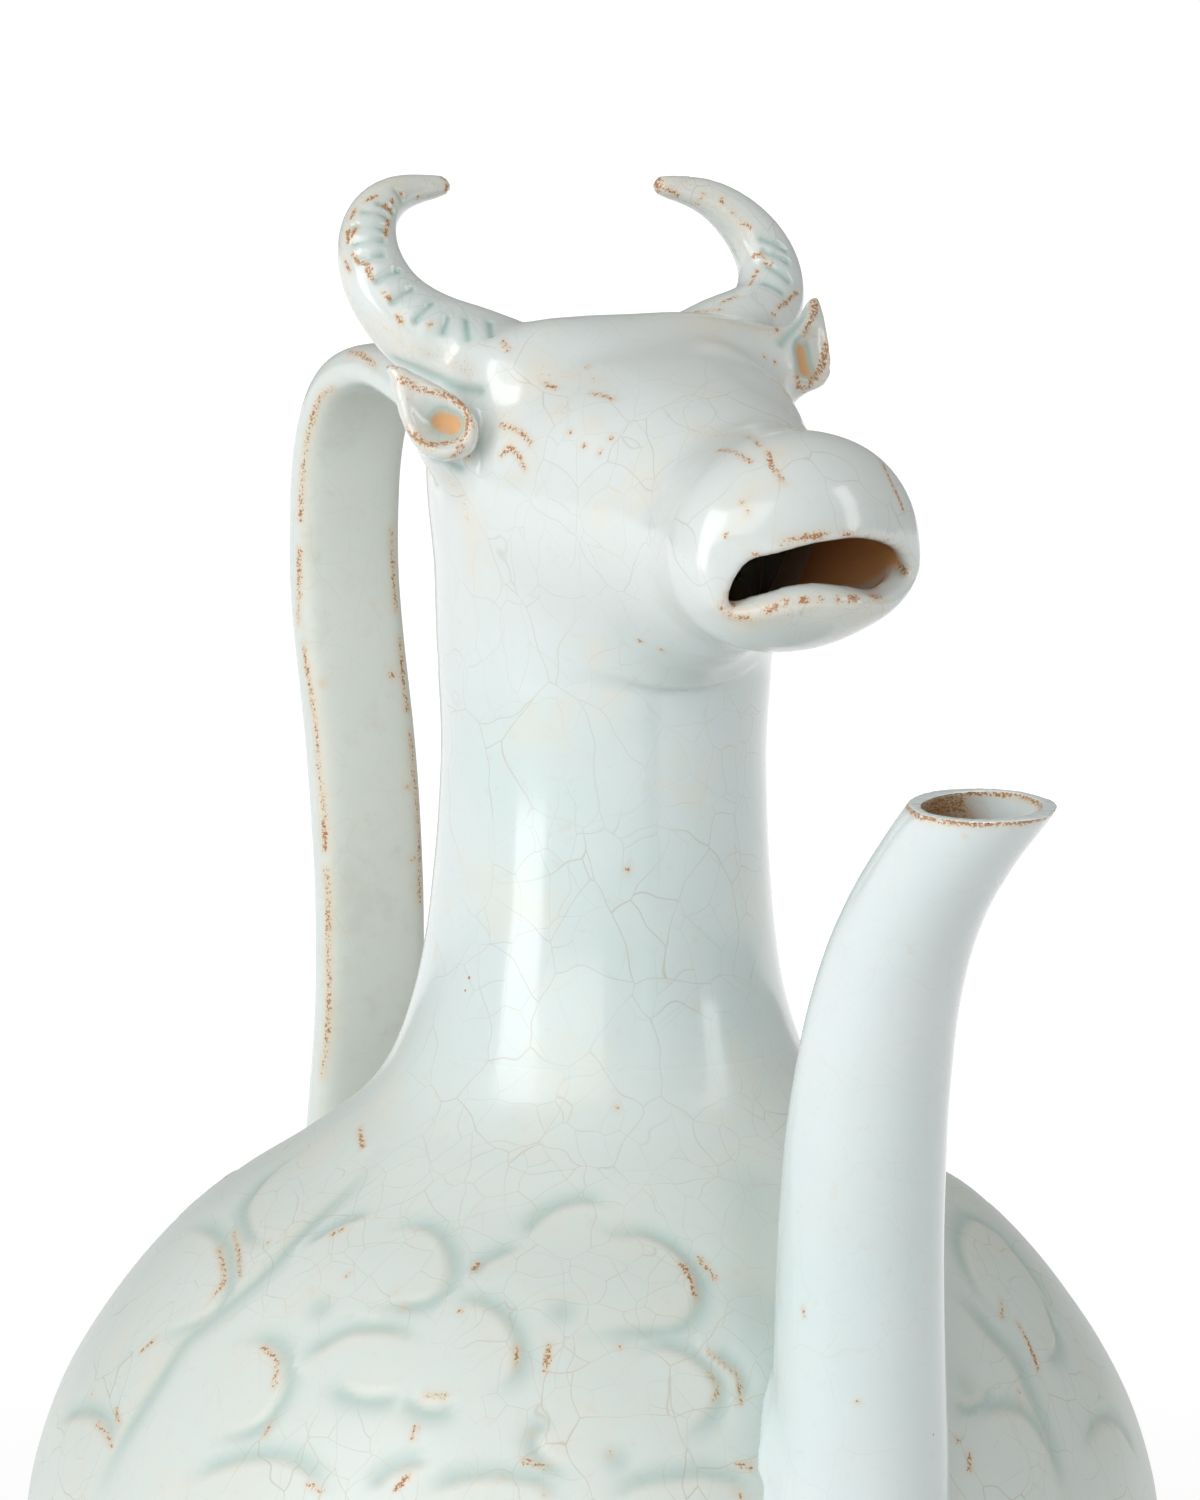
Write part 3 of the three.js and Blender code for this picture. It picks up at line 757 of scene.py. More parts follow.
def luted(pieces, grain, rounds):
    """Joins overlapping clay pieces into one skin and smooths the joins."""
    if len(pieces) > 1:
        alone(*pieces)
        bpy.ops.object.join()
    apply_modifier(pieces[0], "REMESH", mode="VOXEL", voxel_size=grain)
    apply_modifier(pieces[0], "SMOOTH", factor=0.5, iterations=rounds)
    return pieces[0]


def soft_copy(node, name, swell):
    """A CAD node's form with its facets smoothed away, then swelled or shrunk a little."""
    piece = copy_of(node, name)
    apply_modifier(piece, "SUBSURF", levels=2, render_levels=2)
    dent(piece, np.full(len(piece.data.vertices), -swell))
    return piece


POLL_PATH = ((-28, -8, 348), (-14, -9, 350.5), (0, -9, 350.5), (14, -9, 350.5), (28, -8, 348))
POLL_RADIUS = 8.5 * MM
ROLL_SPACING = 2 * MM
STUB_LENGTH = 22 * MM
STUB_SINK = 1 * MM
STUB_ROW = 2 * MM
STUB_STEPS = 160
THROAT = (292 * MM, 306 * MM)

# Smoothing shrinks a piece, and this swells it again; the eyes are set deeper
SWELL = {"head": 0.25 * MM, "horn": 0.3 * MM, "ear": 0.4 * MM, "eye": -1.3 * MM,
         "spout": 0.2 * MM, "strap": 0.3 * MM}

# Where the clay is thumbed smooth, in millimetres: place, reach, and rounds of smoothing
EYE_JOIN = (17, 90)
SIDE_JOINS = (((27, -6, 347), 18, 110), ((35, -2, 328), 13, 70))
CROWN = ((0, -9, 354), 24, 80)
THROAT_ACROSS = (-18, 0, 18)
THROAT_BOW = 3
THROAT_JOINS = ((39, 296, 24, 120), (37, 291, 13, 80))

# Where the clay is pulled up or down: pixel of the photograph, lift and reach
HEAD_PULLS = (((800, 597), 1.8 * MM, 9 * MM), ((884, 580), -2.4 * MM, 8 * MM),
              ((696, 306), -2.2 * MM, 8 * MM), ((390, 383), 2.2 * MM, 6 * MM),
              ((735, 560), 3 * MM, 5.5 * MM))

# Fine work on the head, in pixels of the photograph
HORN_STROKES = (
    ((490, 322), (491, 335)), ((467, 320), (468, 338)), ((448, 318), (444, 332)),
    ((432, 303), (416, 321)), ((412, 289), (393, 302)), ((399, 271), (377, 281)),
    ((383, 255), (359, 261)), ((383, 240), (354, 243)), ((384, 229), (353, 226)),
    ((386, 216), (363, 211)), ((393, 211), (379, 203)), ((402, 199), (397, 191)),
    ((762, 239), (786, 250)), ((764, 251), (788, 262)), ((768, 266), (789, 281)),
    ((765, 283), (782, 292)),
)
EAR_FOLDS = (((396, 360), (415, 368), (434, 376), (455, 385), (480, 390)),
             ((432, 459), (445, 463), (460, 470)),
             ((782, 343), (792, 330), (801, 318), (806, 306)))
IRON_MARKS = (
    ((389, 299), (383, 293)), ((372, 278), (367, 271)), ((357, 262), (353, 255)),
    ((348, 241), (348, 231)), ((351, 217), (355, 210)), ((367, 200), (376, 196)),
    ((352, 236), (356, 228)), ((388, 220), (386, 235)), ((362, 262), (370, 268)),
    ((345, 262), (349, 270)), ((384, 205), (392, 212)), ((402, 322), (398, 316)),
    ((392, 201),), ((402, 194),), ((418, 197),), ((443, 178), (446, 190)),
    ((503, 342), (508, 349)), ((430, 325),),
    ((546, 384), (556, 388)), ((592, 393), (614, 399)), ((588, 367),),
    ((501, 425), (517, 430), (531, 443)), ((501, 456), (509, 448), (518, 455), (525, 469)),
    ((747, 436), (760, 446)), ((718, 450), (735, 452), (750, 462)),
    ((768, 452), (772, 466), (783, 482)), ((880, 460), (890, 480), (903, 510)),
    ((857, 433), (870, 443)), ((742, 503),), ((748, 512),), ((726, 535),), ((640, 641),),
    ((662, 650),), ((570, 432),), ((584, 446),), ((600, 452),), ((611, 438),),
    ((656, 180), (668, 175)), ((662, 186), (679, 196)), ((703, 195),), ((698, 203),),
    ((722, 200),), ((733, 213),), ((742, 223), (749, 227)), ((753, 256), (762, 255)),
    ((765, 262), (770, 264)), ((757, 272),), ((754, 276), (749, 285)),
    ((695, 312), (721, 310)), ((720, 304), (737, 296)), ((778, 308), (797, 293)),
    ((774, 314), (777, 331)), ((765, 357),), ((775, 363),), ((430, 475),),
)
LIP_EDGE = (
    ((722, 608), (728, 594), (736, 576), (755, 556), (786, 542), (817, 536), (847, 534),
     (872, 541), (893, 553), (905, 572)),
    ((726, 612), (734, 618), (746, 618)), ((768, 610), (775, 607)), ((786, 602),),
    ((802, 600), (806, 600)), ((820, 599),), ((838, 600),), ((850, 599), (857, 598)),
    ((872, 597), (880, 597)), ((729, 600), (733, 606)),
)
EAR_RIMS = (
    ((386, 365), (400, 379), (420, 389), (445, 395), (460, 402), (467, 412), (466, 430),
     (461, 445)),
    ((383, 371), (388, 395), (395, 411), (408, 430), (425, 443), (445, 443), (458, 440)),
    ((454, 457), (460, 448), (468, 456)),
    ((822, 300), (825, 320), (827, 345), (822, 366), (812, 382), (801, 396)),
    ((815, 302), (812, 318), (805, 334)), ((797, 378), (800, 388)),
)
EAR_HOLES = (((441, 421), (452, 425)), ((803, 352), (806, 368)))
EAR_HOLE_RADIUS = 2.4 * MM
EAR_HOLE_DEPTH = 0.9 * MM
STROKE_WIDTH = 0.75 * MM
STROKE_DEPTH = 0.45 * MM
WASH_WIDTH = 2 * MM
REFINED_WIDTH = 4 * MM
FOLD_WIDTH = 1.1 * MM
FOLD_DEPTH = 0.5 * MM
HEAD_IRON_WIDTH = 1.05 * MM
RIM_IRON_WIDTH = 1.5 * MM
WASH_POOL = 0.4
FOLD_POOL = 0.9
HOLE_BARE = 0.9
HOLE_BARE_FROM_TO = (0.35, 0.8)
HOLE_POOL = 0.8
HOLE_POOL_FROM_TO = (0.5, 0.75)
STAIN_SHARE = 0.55
HEAD_STAINS = (
    ((412, 350), (440, 358), (470, 372)), ((448, 480), (462, 498), (470, 525)),
    ((505, 412), (512, 440)), ((385, 330), (400, 345)), ((540, 372), (600, 380)),
    ((700, 430), (735, 436)), ((860, 430), (900, 480)), ((560, 410),), ((590, 425),),
    ((348, 300), (340, 255), (350, 215), (372, 190), (400, 180)), ((425, 180), (436, 186)),
    ((660, 180), (690, 186), (725, 210), (745, 235)), ((715, 320), (770, 330)),
    ((400, 385), (410, 410), (425, 430)), ((745, 625), (790, 612), (880, 612)),
)
STAIN_REACH = 3.2 * MM
HANDLE_IRON = (
    ((330, 357), (350, 352), (364, 356), (376, 366)),
    ((334, 388), (320, 398), (312, 420), (306, 445), (302, 480), (300, 520)),
    ((299, 550), (299, 590), (298, 625)),
    ((303, 645), (307, 670), (312, 700), (316, 730), (319, 770), (323, 800), (325, 850)),
    ((326, 870), (328, 900), (328, 950), (329, 1000), (327, 1040), (322, 1075)),
    ((391, 530), (393, 570), (396, 610)), ((400, 640), (403, 675), (407, 710)),
    ((410, 735), (414, 775), (418, 820), (420, 860), (419, 900)),
    ((392, 675),), ((408, 787),), ((413, 860),), ((322, 683),),
)


def grab(piece, centre, shift, reach):
    """Pulls the clay round a place, less and less with distance."""
    places = points(piece)
    away = np.linalg.norm(places - np.asarray(centre), axis=1)
    set_points(piece, places + np.exp(-(away / reach) ** 2)[:, None] * np.asarray(shift))


def clay_roll(name, path, radius):
    """A round roll of clay along a path in millimetres, with domed ends."""
    balls = []
    for place in smooth_through(np.array(path) * MM, ROLL_SPACING):
        bpy.ops.mesh.primitive_uv_sphere_add(
            segments=24, ring_count=12, radius=radius, location=place)
        bpy.ops.object.transform_apply(location=True, rotation=False, scale=False)
        balls.append(bpy.context.object)
    alone(*balls)
    bpy.ops.object.join()
    balls[0].name = name
    return balls[0]


def cut_flat(piece, place, side, rounding=0):
    """Cuts a hollow piece off flat, closes the rim of its wall, and may round its edges."""
    with edit_mode(piece):
        bpy.ops.mesh.bisect(plane_co=place, plane_no=side, clear_outer=True)
        bpy.ops.mesh.select_all(action="DESELECT")
        bpy.ops.mesh.select_mode(type="EDGE")
        bpy.ops.mesh.select_non_manifold(
            extend=False, use_wire=False, use_boundary=True, use_multi_face=False,
            use_non_contiguous=False, use_verts=False)
        bpy.ops.mesh.bridge_edge_loops()
        if rounding:
            bpy.ops.mesh.region_to_loop()
            bpy.ops.mesh.bevel(offset=rounding, segments=3)


def plain_throat(head):
    """Keeps thick glaze off the throat, where the jaw runs smoothly into the neck."""
    pooled = np.empty(len(head.data.vertices), np.float32)
    head.data.attributes["pooled"].data.foreach_get("value", pooled)
    record_values(head, "pooled", pooled * smooth_step(points(head)[:, 2], *THROAT))


MEETING_HEIGHT = 6 * MM
ASTRAY_FROM_TO = (1.6 * MM, 2 * MM)


def meet_neck(head):
    """Eases the foot of the head's wall on to the neck's own outline."""
    places = points(head)
    radius = np.linalg.norm(places[:, :2], axis=1)
    share = 1 - smooth_step(places[:, 2], NECK_TOP, NECK_TOP + MEETING_HEIGHT)
    for outline in (OUTSIDE, INSIDE):
        astray = radius_at(places[:, 2], outline) - radius
        close = 1 - smooth_step(np.abs(astray), *ASTRAY_FROM_TO)
        grown = 1 + close * share * astray / np.maximum(radius, AXIS_GUARD)
        places[:, :2] *= grown[:, None]
    set_points(head, places)


def thumb_smooth(head):
    """Smooths the joins of eyes, horns and ears, then the crown and the throat."""
    for side, hand in (("right", -1), ("left", 1)):
        low, high = (np.array(corner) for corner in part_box(side + "_eye"))
        soften(head, (low + high) / 2, EYE_JOIN[0] * MM, EYE_JOIN[1])
        for (across, along, up), reach, rounds in SIDE_JOINS:
            soften(head, (hand * across * MM, along * MM, up * MM), reach * MM, rounds)
    place, reach, rounds = CROWN
    soften(head, np.array(place) * MM, reach * MM, rounds)
    for across in THROAT_ACROSS:
        for forward, up, reach, rounds in THROAT_JOINS:
            along = abs(across) / THROAT_BOW - forward
            soften(head, (across * MM, along * MM, up * MM), reach * MM, rounds)


def incise_head(head, tree):
    """Cuts the horns' strokes, the ears' folds and holes, and lays glaze and iron in them."""
    strokes = seen_lines(tree, HORN_STROKES)
    folds = seen_lines(tree, EAR_FOLDS)
    holes = seen_lines(tree, EAR_HOLES)
    refine_near(head, strokes, REFINED_WIDTH)
    cuts = nearness(head, strokes, STROKE_WIDTH)
    washes = nearness(head, strokes, WASH_WIDTH)
    creases = nearness(head, folds, FOLD_WIDTH)
    dent(head, STROKE_DEPTH * cuts + FOLD_DEPTH * creases)
    add_values(head, "pooled", np.max([cuts, WASH_POOL * washes, FOLD_POOL * creases], axis=0))
    iron = nearness(head, seen_lines(tree, IRON_MARKS), HEAD_IRON_WIDTH)
    edges = nearness(head, seen_lines(tree, LIP_EDGE + EAR_RIMS), RIM_IRON_WIDTH)
    record_values(head, "marks", np.maximum(iron, edges))
    dips = nearness(head, holes, EAR_HOLE_RADIUS)
    dent(head, EAR_HOLE_DEPTH * dips)
    add_values(head, "bare", HOLE_BARE * smooth_step(dips, *HOLE_BARE_FROM_TO))
    around = nearness(head, holes, 2 * EAR_HOLE_RADIUS)
    add_values(head, "pooled", HOLE_POOL * smooth_step(around, *HOLE_POOL_FROM_TO))
    stains = seen_lines(tree, HEAD_STAINS)
    add_values(head, "worn", STAIN_SHARE * nearness(head, stains, STAIN_REACH))


class EWER_OT_model_head(bpy.types.Operator):
    """Models the ox head with its horns, ears and eyes as one luted skin"""
    bl_idname = "ewer.model_head"
    bl_label = "Model the ox head"

    def execute(self, context):
        sizes = context.scene.ewer_sizes
        parts = [soft_copy("ox_head", "glazed_ox_head", SWELL["head"])]
        for side in ("right", "left"):
            for feature in ("horn", "eye", "ear"):
                node = side + "_" + feature
                parts.append(soft_copy(node, node + "_clay", SWELL[feature]))
        parts.append(clay_roll("poll", POLL_PATH, POLL_RADIUS))
        stub = wall_profile(NECK_TOP - STUB_LENGTH, NECK_TOP + STUB_SINK, STUB_ROW, STUB_ROW)
        parts.append(thrown("neck_stub", stub, STUB_STEPS))
        head = luted(parts, sizes.clay_grain, SMOOTH_ROUNDS)
        thumb_smooth(head)
        for pixel, lift, reach in HEAD_PULLS:
            grab(head, seen_point(tree_of(head), *pixel), (0, 0, lift), reach)
        meet_neck(head)
        sway(head, sizes.hand_wobble)
        record_glaze_run(head)
        record_values(head, "bare", hidden_share(head))
        cut_flat(head, (0, 0, NECK_TOP), (0, 0, -1))
        plain_throat(head)
        incise_head(head, tree_of(head))
        finish_piece(head, "glaze", HEAD_LOOK, "ox_head", "right_horn", "left_horn",
                     "right_eye", "left_eye", "right_ear", "left_ear")
        return {"FINISHED"}


# Spout, handle and foot

# How far round a root its clay is pressed on, and how far it spreads
ROOT_SINK = 1.2 * MM
SPOUT_ROOT = (9 * MM, 4 * MM)
STRAP_ROOT = (7 * MM, 3 * MM)


def spread_root(piece, carriers, reach, spread):
    """Presses a piece's root on what carries it: sunk a little, and spread round its edge."""
    places = points(piece)
    sides = normals(piece)
    moved = places.copy()
    for carrier in carriers:
        tree = tree_of(bpy.data.objects[carrier])
        for i, place in enumerate(places):
            hit, ground, _, distance = tree.find_nearest(Vector(place), reach)
            if hit is None:
                continue
            share = (1 - distance / reach) ** 2
            ground = np.array(ground)
            flat = sides[i] - np.dot(sides[i], ground) * ground
            moved[i] += flat * spread * share - ground * ROOT_SINK * share ** 2
    set_points(piece, moved)


SPOUT_MARKS = (((803, 1308), (804, 1316)), ((858, 1402),), ((965, 836),))
LIP_REACH = 10 * MM
LIP_THINNING = 1.4 * MM
LIP_DRAW = 1.5 * MM
DRAW_REACH = 0.5 * LIP_REACH
LIP_MIDDLE = 0.5 * MM
LIP_WIDTH = 1.1 * MM
LIP_EDGE_WIDTH = 0.15 * MM
LIP_ROUNDING = 0.4 * MM
SPOUT_IRON_WIDTH = 0.7 * MM
THIN_GLAZE_REACH = 11 * MM
THIN_GLAZE_COVER = 0.85
LIP_WEAR = 0.5
LIP_INSIDE_LOSS = 0.4
MOUTH_BAND = 8 * MM
FACES_UP = 0.95
MOUTH_LEAN = Vector((0, -15, 12)).normalized()


def spout_rim():
    """Middle and outward side of the spout's flat pouring mouth, from its CAD faces."""
    faces = [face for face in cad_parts["spout"].data.polygons
             if face.normal.z > FACES_UP and face.center.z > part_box("spout")[1].z - MOUTH_BAND]
    places = np.array([face.center for face in faces])
    side = sum((face.normal for face in faces), Vector()).normalized()
    return (places.min(axis=0) + places.max(axis=0)) / 2, np.array(side)


def thin_lip(spout, middle, side):
    """Draws the wall out past the mouth and thins it there from the inside."""
    places = points(spout)
    sides = normals(spout)
    below = (middle - places) @ side
    share = np.exp(-(below / LIP_REACH) ** 2)
    away = places - middle
    away += below[:, None] * side
    inward = np.einsum("ij,ij->i", sides, away) < 0
    flat = sides - (sides @ side)[:, None] * side
    lean = np.array(MOUTH_LEAN) / np.dot(MOUTH_LEAN, side)
    drawn = np.exp(-(below / DRAW_REACH) ** 2)
    moved = places + lean * (LIP_DRAW * drawn)[:, None]
    set_points(spout, moved - flat * (LIP_THINNING * share * inward)[:, None])


class EWER_OT_lute_spout(bpy.types.Operator):
    """Draws the spout and lutes it on the belly"""
    bl_idname = "ewer.lute_spout"
    bl_label = "Lute on the spout"

    def execute(self, context):
        sizes = context.scene.ewer_sizes
        spout = luted([soft_copy("spout", "glazed_spout", SWELL["spout"])],
                      sizes.fine_grain, SPOUT_SMOOTH_ROUNDS)
        spread_root(spout, ("carved_lower_body", "carved_upper_body"), *SPOUT_ROOT)
        middle, side = spout_rim()
        record_glaze_run(spout, rounds=20)
        thin_lip(spout, middle, side)
        cut_flat(spout, middle, side, LIP_ROUNDING)
        below = (middle - points(spout)) @ side
        inside = hidden_share(spout)
        lip = np.exp(-((below - LIP_MIDDLE) / LIP_WIDTH) ** 2) * (below > LIP_EDGE_WIDTH)
        sway(spout, sizes.hand_wobble)
        lines = seen_lines(tree_of(spout), SPOUT_MARKS)
        marks = nearness(spout, lines, SPOUT_IRON_WIDTH)
        record_values(spout, "marks", np.maximum(marks, lip * (1 - LIP_INSIDE_LOSS * inside)))
        thin_glaze = inside * np.exp(-(below / THIN_GLAZE_REACH) ** 2)
        record_values(spout, "bare", inside - THIN_GLAZE_COVER * thin_glaze)
        record_values(spout, "worn", np.maximum(LIP_WEAR * lip, thin_glaze))
        finish_piece(spout, "glaze", SPOUT_LOOK, "spout")
        return {"FINISHED"}


# The strap's dull inner face, by how far it faces inward, and its stained edges
STRAP_EDGE = 0.6 * MM
INNER_FACE_FROM_TO = (0.3, 0.5)
DULL_BELOW_TOP = 12 * MM
STRAP_IRON_WIDTH = 1.3 * MM
STRAP_WEAR_WIDTH = 2.2 * MM
STRAP_IRON = 0.9
STRAP_WEAR = 0.5


class EWER_OT_pull_handle(bpy.types.Operator):
    """Pulls the strap handle and lutes it on head and shoulder"""
    bl_idname = "ewer.pull_handle"
    bl_label = "Pull the strap handle"

    def execute(self, context):
        sizes = context.scene.ewer_sizes
        strap = luted([soft_copy("strap_handle", "glazed_strap_handle", SWELL["strap"])],
                      sizes.clay_grain, SMOOTH_ROUNDS)
        spread_root(strap, ("carved_upper_body", "glazed_ox_head"), *STRAP_ROOT)
        sway(strap, sizes.hand_wobble)
        record_glaze_run(strap, edge=STRAP_EDGE)
        inner = smooth_step(-normals(strap)[:, 1], *INNER_FACE_FROM_TO)
        dull_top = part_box("strap_handle")[1].z - DULL_BELOW_TOP
        record_values(strap, "dull", inner * (dull_top > points(strap)[:, 2]))
        lines = seen_lines(tree_of(strap), HANDLE_IRON)
        record_values(strap, "marks", STRAP_IRON * nearness(strap, lines, STRAP_IRON_WIDTH))
        add_values(strap, "worn", STRAP_WEAR * nearness(strap, lines, STRAP_WEAR_WIDTH))
        finish_piece(strap, "glaze", HANDLE_LOOK, "strap_handle")
        return {"FINISHED"}


FOOT_STEPS = 240
FOOT_ROUNDING = 0.5 * MM
FOOT_EDGE_ANGLE = math.radians(25)


class EWER_OT_turn_foot(bpy.types.Operator):
    """Turns the bare clay foot"""
    bl_idname = "ewer.turn_foot"
    bl_label = "Turn the foot"

    def execute(self, context):
        corners = half_section(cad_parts["foot"])
        corners = corners[np.argsort(corners[:, 1])]
        profile = np.vstack([[(0, 0)], corners, [(0, corners[-1][1])]])
        foot = thrown("turned_foot", profile, FOOT_STEPS)
        apply_modifier(foot, "BEVEL", width=FOOT_ROUNDING, segments=3, limit_method="ANGLE",
                       angle_limit=FOOT_EDGE_ANGLE)
        finish_piece(foot, "bare_clay", None, "foot")
        return {"FINISHED"}


# Materials

def new_group(name, inputs, outputs):
    """An empty shader node group with its sockets; returns it with its two ends."""
    group = bpy.data.node_groups.new(name, "ShaderNodeTree")
    for label, kind, default in inputs:
        socket = group.interface.new_socket(label, in_out="INPUT", socket_type=kind)
        if default is not None:
            socket.default_value = default
    for label, kind in outputs:
        group.interface.new_socket(label, in_out="OUTPUT", socket_type=kind)
    start = group.nodes.new("NodeGroupInput")
    end = group.nodes.new("NodeGroupOutput")
    return group, start, end


def feed(tree, socket, value):
    """Links a socket to another one, or sets it to a plain value."""
    if isinstance(value, bpy.types.NodeSocket):
        tree.links.new(value, socket)
    else:
        socket.default_value = value


def put(tree, kind, inputs=(), **settings):
    """Adds a node with its settings, and feeds its inputs by name or number."""
    node = tree.nodes.new(kind)
    for name, value in settings.items():
        setattr(node, name, value)
    for socket, value in dict(inputs).items():
        feed(tree, node.inputs[socket], value)
    return node


def math_node(tree, operation, first, second, clamp=False):
    return put(tree, "ShaderNodeMath", {0: first, 1: second}, operation=operation,
               use_clamp=clamp).outputs[0]


def times(tree, first, second):
    """The product of two values, kept from 0 to 1."""
    return math_node(tree, "MULTIPLY", first, second, True)


def larger(tree, first, second):
    return math_node(tree, "MAXIMUM", first, second)


def ramp(tree, value, low, high):
    """0 below low, 1 above high, smooth between."""
    return put(tree, "ShaderNodeMapRange", {"Value": value, "From Min": low, "From Max": high},
               interpolation_type="SMOOTHSTEP").outputs["Result"]


def noise(tree, vector, scale, detail=2.0, roughness=0.5):
    return put(tree, "ShaderNodeTexNoise", {"Vector": vector, "Scale": scale, "Detail": detail,
                                            "Roughness": roughness}).outputs["Fac"]


def mix(tree, factor, first, second):
    """Blends two colours, each a socket or a plain colour."""
    node = put(tree, "ShaderNodeMix", {"Factor": factor}, data_type="RGBA")
    for label, value in (("A", first), ("B", second)):
        socket = next(s for s in node.inputs if s.name == label and s.type == "RGBA")
        plain = not isinstance(value, bpy.types.NodeSocket)
        feed(tree, socket, (*value, 1) if plain else value)
    return next(s for s in node.outputs if s.type == "RGBA")


# The cracks' cells are drawn out upwards, warped by a noise, and fade in and out
CRACK_WARP_SCALE = 45.0
CRACK_WARP = (0.012, 0.012, 0.012)
CRACK_DRAWN = (1, 1, 0.72)
CRACK_PATCH_SCALE = 28.0
CRACK_PATCH_FROM_TO = (0.36, 0.62)


def crackle_group():
    """Fine stained cracks: edges of warped cells, fading in and out."""
    group, start, end = new_group(
        "Crackle",
        [("Vector", "NodeSocketVector", None), ("Cells", "NodeSocketFloat", 70.0),
         ("Width", "NodeSocketFloat", 0.0095)],
        [("Line", "NodeSocketFloat")])
    vector = start.outputs["Vector"]
    warp = put(group, "ShaderNodeTexNoise",
               {"Vector": vector, "Scale": CRACK_WARP_SCALE, "Detail": 2.0})
    drawn = put(group, "ShaderNodeVectorMath", {0: vector, 1: CRACK_DRAWN},
                operation="MULTIPLY")
    shift = put(group, "ShaderNodeVectorMath",
                {0: warp.outputs["Color"], 1: CRACK_WARP, 2: drawn.outputs[0]},
                operation="MULTIPLY_ADD")
    edge = put(group, "ShaderNodeTexVoronoi",
               {"Vector": shift.outputs[0], "Scale": start.outputs["Cells"]},
               feature="DISTANCE_TO_EDGE")
    near = put(group, "ShaderNodeMapRange",
               {"Value": edge.outputs["Distance"], "From Max": start.outputs["Width"],
                "To Min": 1, "To Max": 0})
    presence = ramp(group, noise(group, vector, CRACK_PATCH_SCALE), *CRACK_PATCH_FROM_TO)
    line = math_node(group, "MULTIPLY", near.outputs["Result"], presence)
    group.links.new(line, end.inputs["Line"])
    return group


# The specks' cells to the metre, and the noise that gathers them in clusters
SPECK_CELLS = 420.0
CLUSTER_NOISE = (33.0, 3.0, 0.6)
CLUSTER_FROM_TO = (0.6, 0.8)
SPECK_EDGE = 0.08


def freckle_group():
    """Small iron specks of mixed size, gathered in clusters."""
    group, start, end = new_group(
        "Freckles",
        [("Vector", "NodeSocketVector", None), ("Amount", "NodeSocketFloat", 0.3)],
        [("Speck", "NodeSocketFloat")])
    vector = start.outputs["Vector"]
    cells = put(group, "ShaderNodeTexVoronoi", {"Vector": vector, "Scale": SPECK_CELLS})
    spread = ramp(group, noise(group, vector, *CLUSTER_NOISE), *CLUSTER_FROM_TO)
    size = math_node(group, "MULTIPLY", spread, start.outputs["Amount"])
    speck = math_node(group, "SUBTRACT", size, cells.outputs["Distance"])
    group.links.new(ramp(group, speck, 0.0, SPECK_EDGE), end.inputs["Speck"])
    return group


def shared(tree, name, build, inputs):
    """Puts in a node group that all glazes share, building it the first time."""
    group = bpy.data.node_groups.get(name) or build()
    return put(tree, "ShaderNodeGroup", inputs, node_tree=group).outputs[0]


# A glaze's tint, whether it changes with height, and how strong its parts are
Look = namedtuple("Look", "tint by_height crackle iron depth bloom")
BODY_LOOK = Look((1, 1, 1), by_height=True, crackle=1.0, iron=0.7, depth=0.7, bloom=0.35)
HEAD_LOOK = Look((1, 1, 1), by_height=True, crackle=0.8, iron=0.7, depth=1.0, bloom=0.6)
SPOUT_LOOK = Look((1.04, 1.03, 1.04), by_height=False, crackle=0.2, iron=0.8, depth=0.6,
                  bloom=0.08)
HANDLE_LOOK = Look((1.05, 1.02, 1.0), by_height=False, crackle=0.3, iron=0.3, depth=0.6,
                   bloom=0.2)
CLOUD_TINT = (0.91, 0.955, 0.945)
BODY_TINT = (0.985, 0.965, 0.93)
HEAD_TINT = (1.03, 0.99, 0.98)
CLAY_TINT = (1.35, 1.5, 1.7)

# Heights where the body's own tint ends, and where the head's sets in
BODY_TINT_HEIGHTS = (0.225, 0.19)
HEAD_TINT_HEIGHTS = (0.265, 0.32)

# Patches in the glaze: scale, detail and roughness of the noise, where they begin and are full
PATCHES = {
    "blotch": (160.0, 2.0, 0.5, 0.5, 0.75),
    "cloud": (22.0, 3.0, 0.55, 0.3, 0.75),
    "dust": (300.0, 4.0, 0.75, 0.55, 0.8),
    "film": (75.0, 4.0, 0.6, 0.5, 0.7),
    "bloom": (48.0, 4.0, 0.62, 0.5, 0.72),
}

# The wide and the fine cracks: cells to the metre, width, strength, and a shift of their cells
CRACKS = ((70.0, 0.0095, 0.55, (0, 0, 0)), (120.0, 0.012, 0.4, (0.31, 0.17, 0.23)))

# Noises of the iron's grains and of the grit: scale, detail and roughness
IRON_GRAIN = (1700.0, 2.0, 0.7)
GLAZE_GRIT = (900.0, 3.0, 0.7)
CLAY_GRIT = (1500.0, 3.0, 0.7)
CLAY_CLOUD = (60.0, 4.0, 0.6)
STAINED_FROM_TO = (0.9, 1.12)
BURNT_FROM_TO = (1.06, 1.16)


def tinted(colour, tint):
    return tuple(min(1, value * share) for value, share in zip(colour, tint))


def new_material(name):
    """A material with its node tree, its shader and the object's own coordinates."""
    material = bpy.data.materials.new(name)
    material.use_nodes = True
    tree = material.node_tree
    place = put(tree, "ShaderNodeTexCoord").outputs["Object"]
    return material, tree, tree.nodes["Principled BSDF"], place


def height_masks(tree, place, look):
    """Where the body's and the head's own tints lie."""
    if not look.by_height:
        return {"low": 0, "high": 0}
    height = put(tree, "ShaderNodeSeparateXYZ", {0: place}).outputs["Z"]
    return {"low": ramp(tree, height, *BODY_TINT_HEIGHTS),
            "high": ramp(tree, height, *HEAD_TINT_HEIGHTS)}


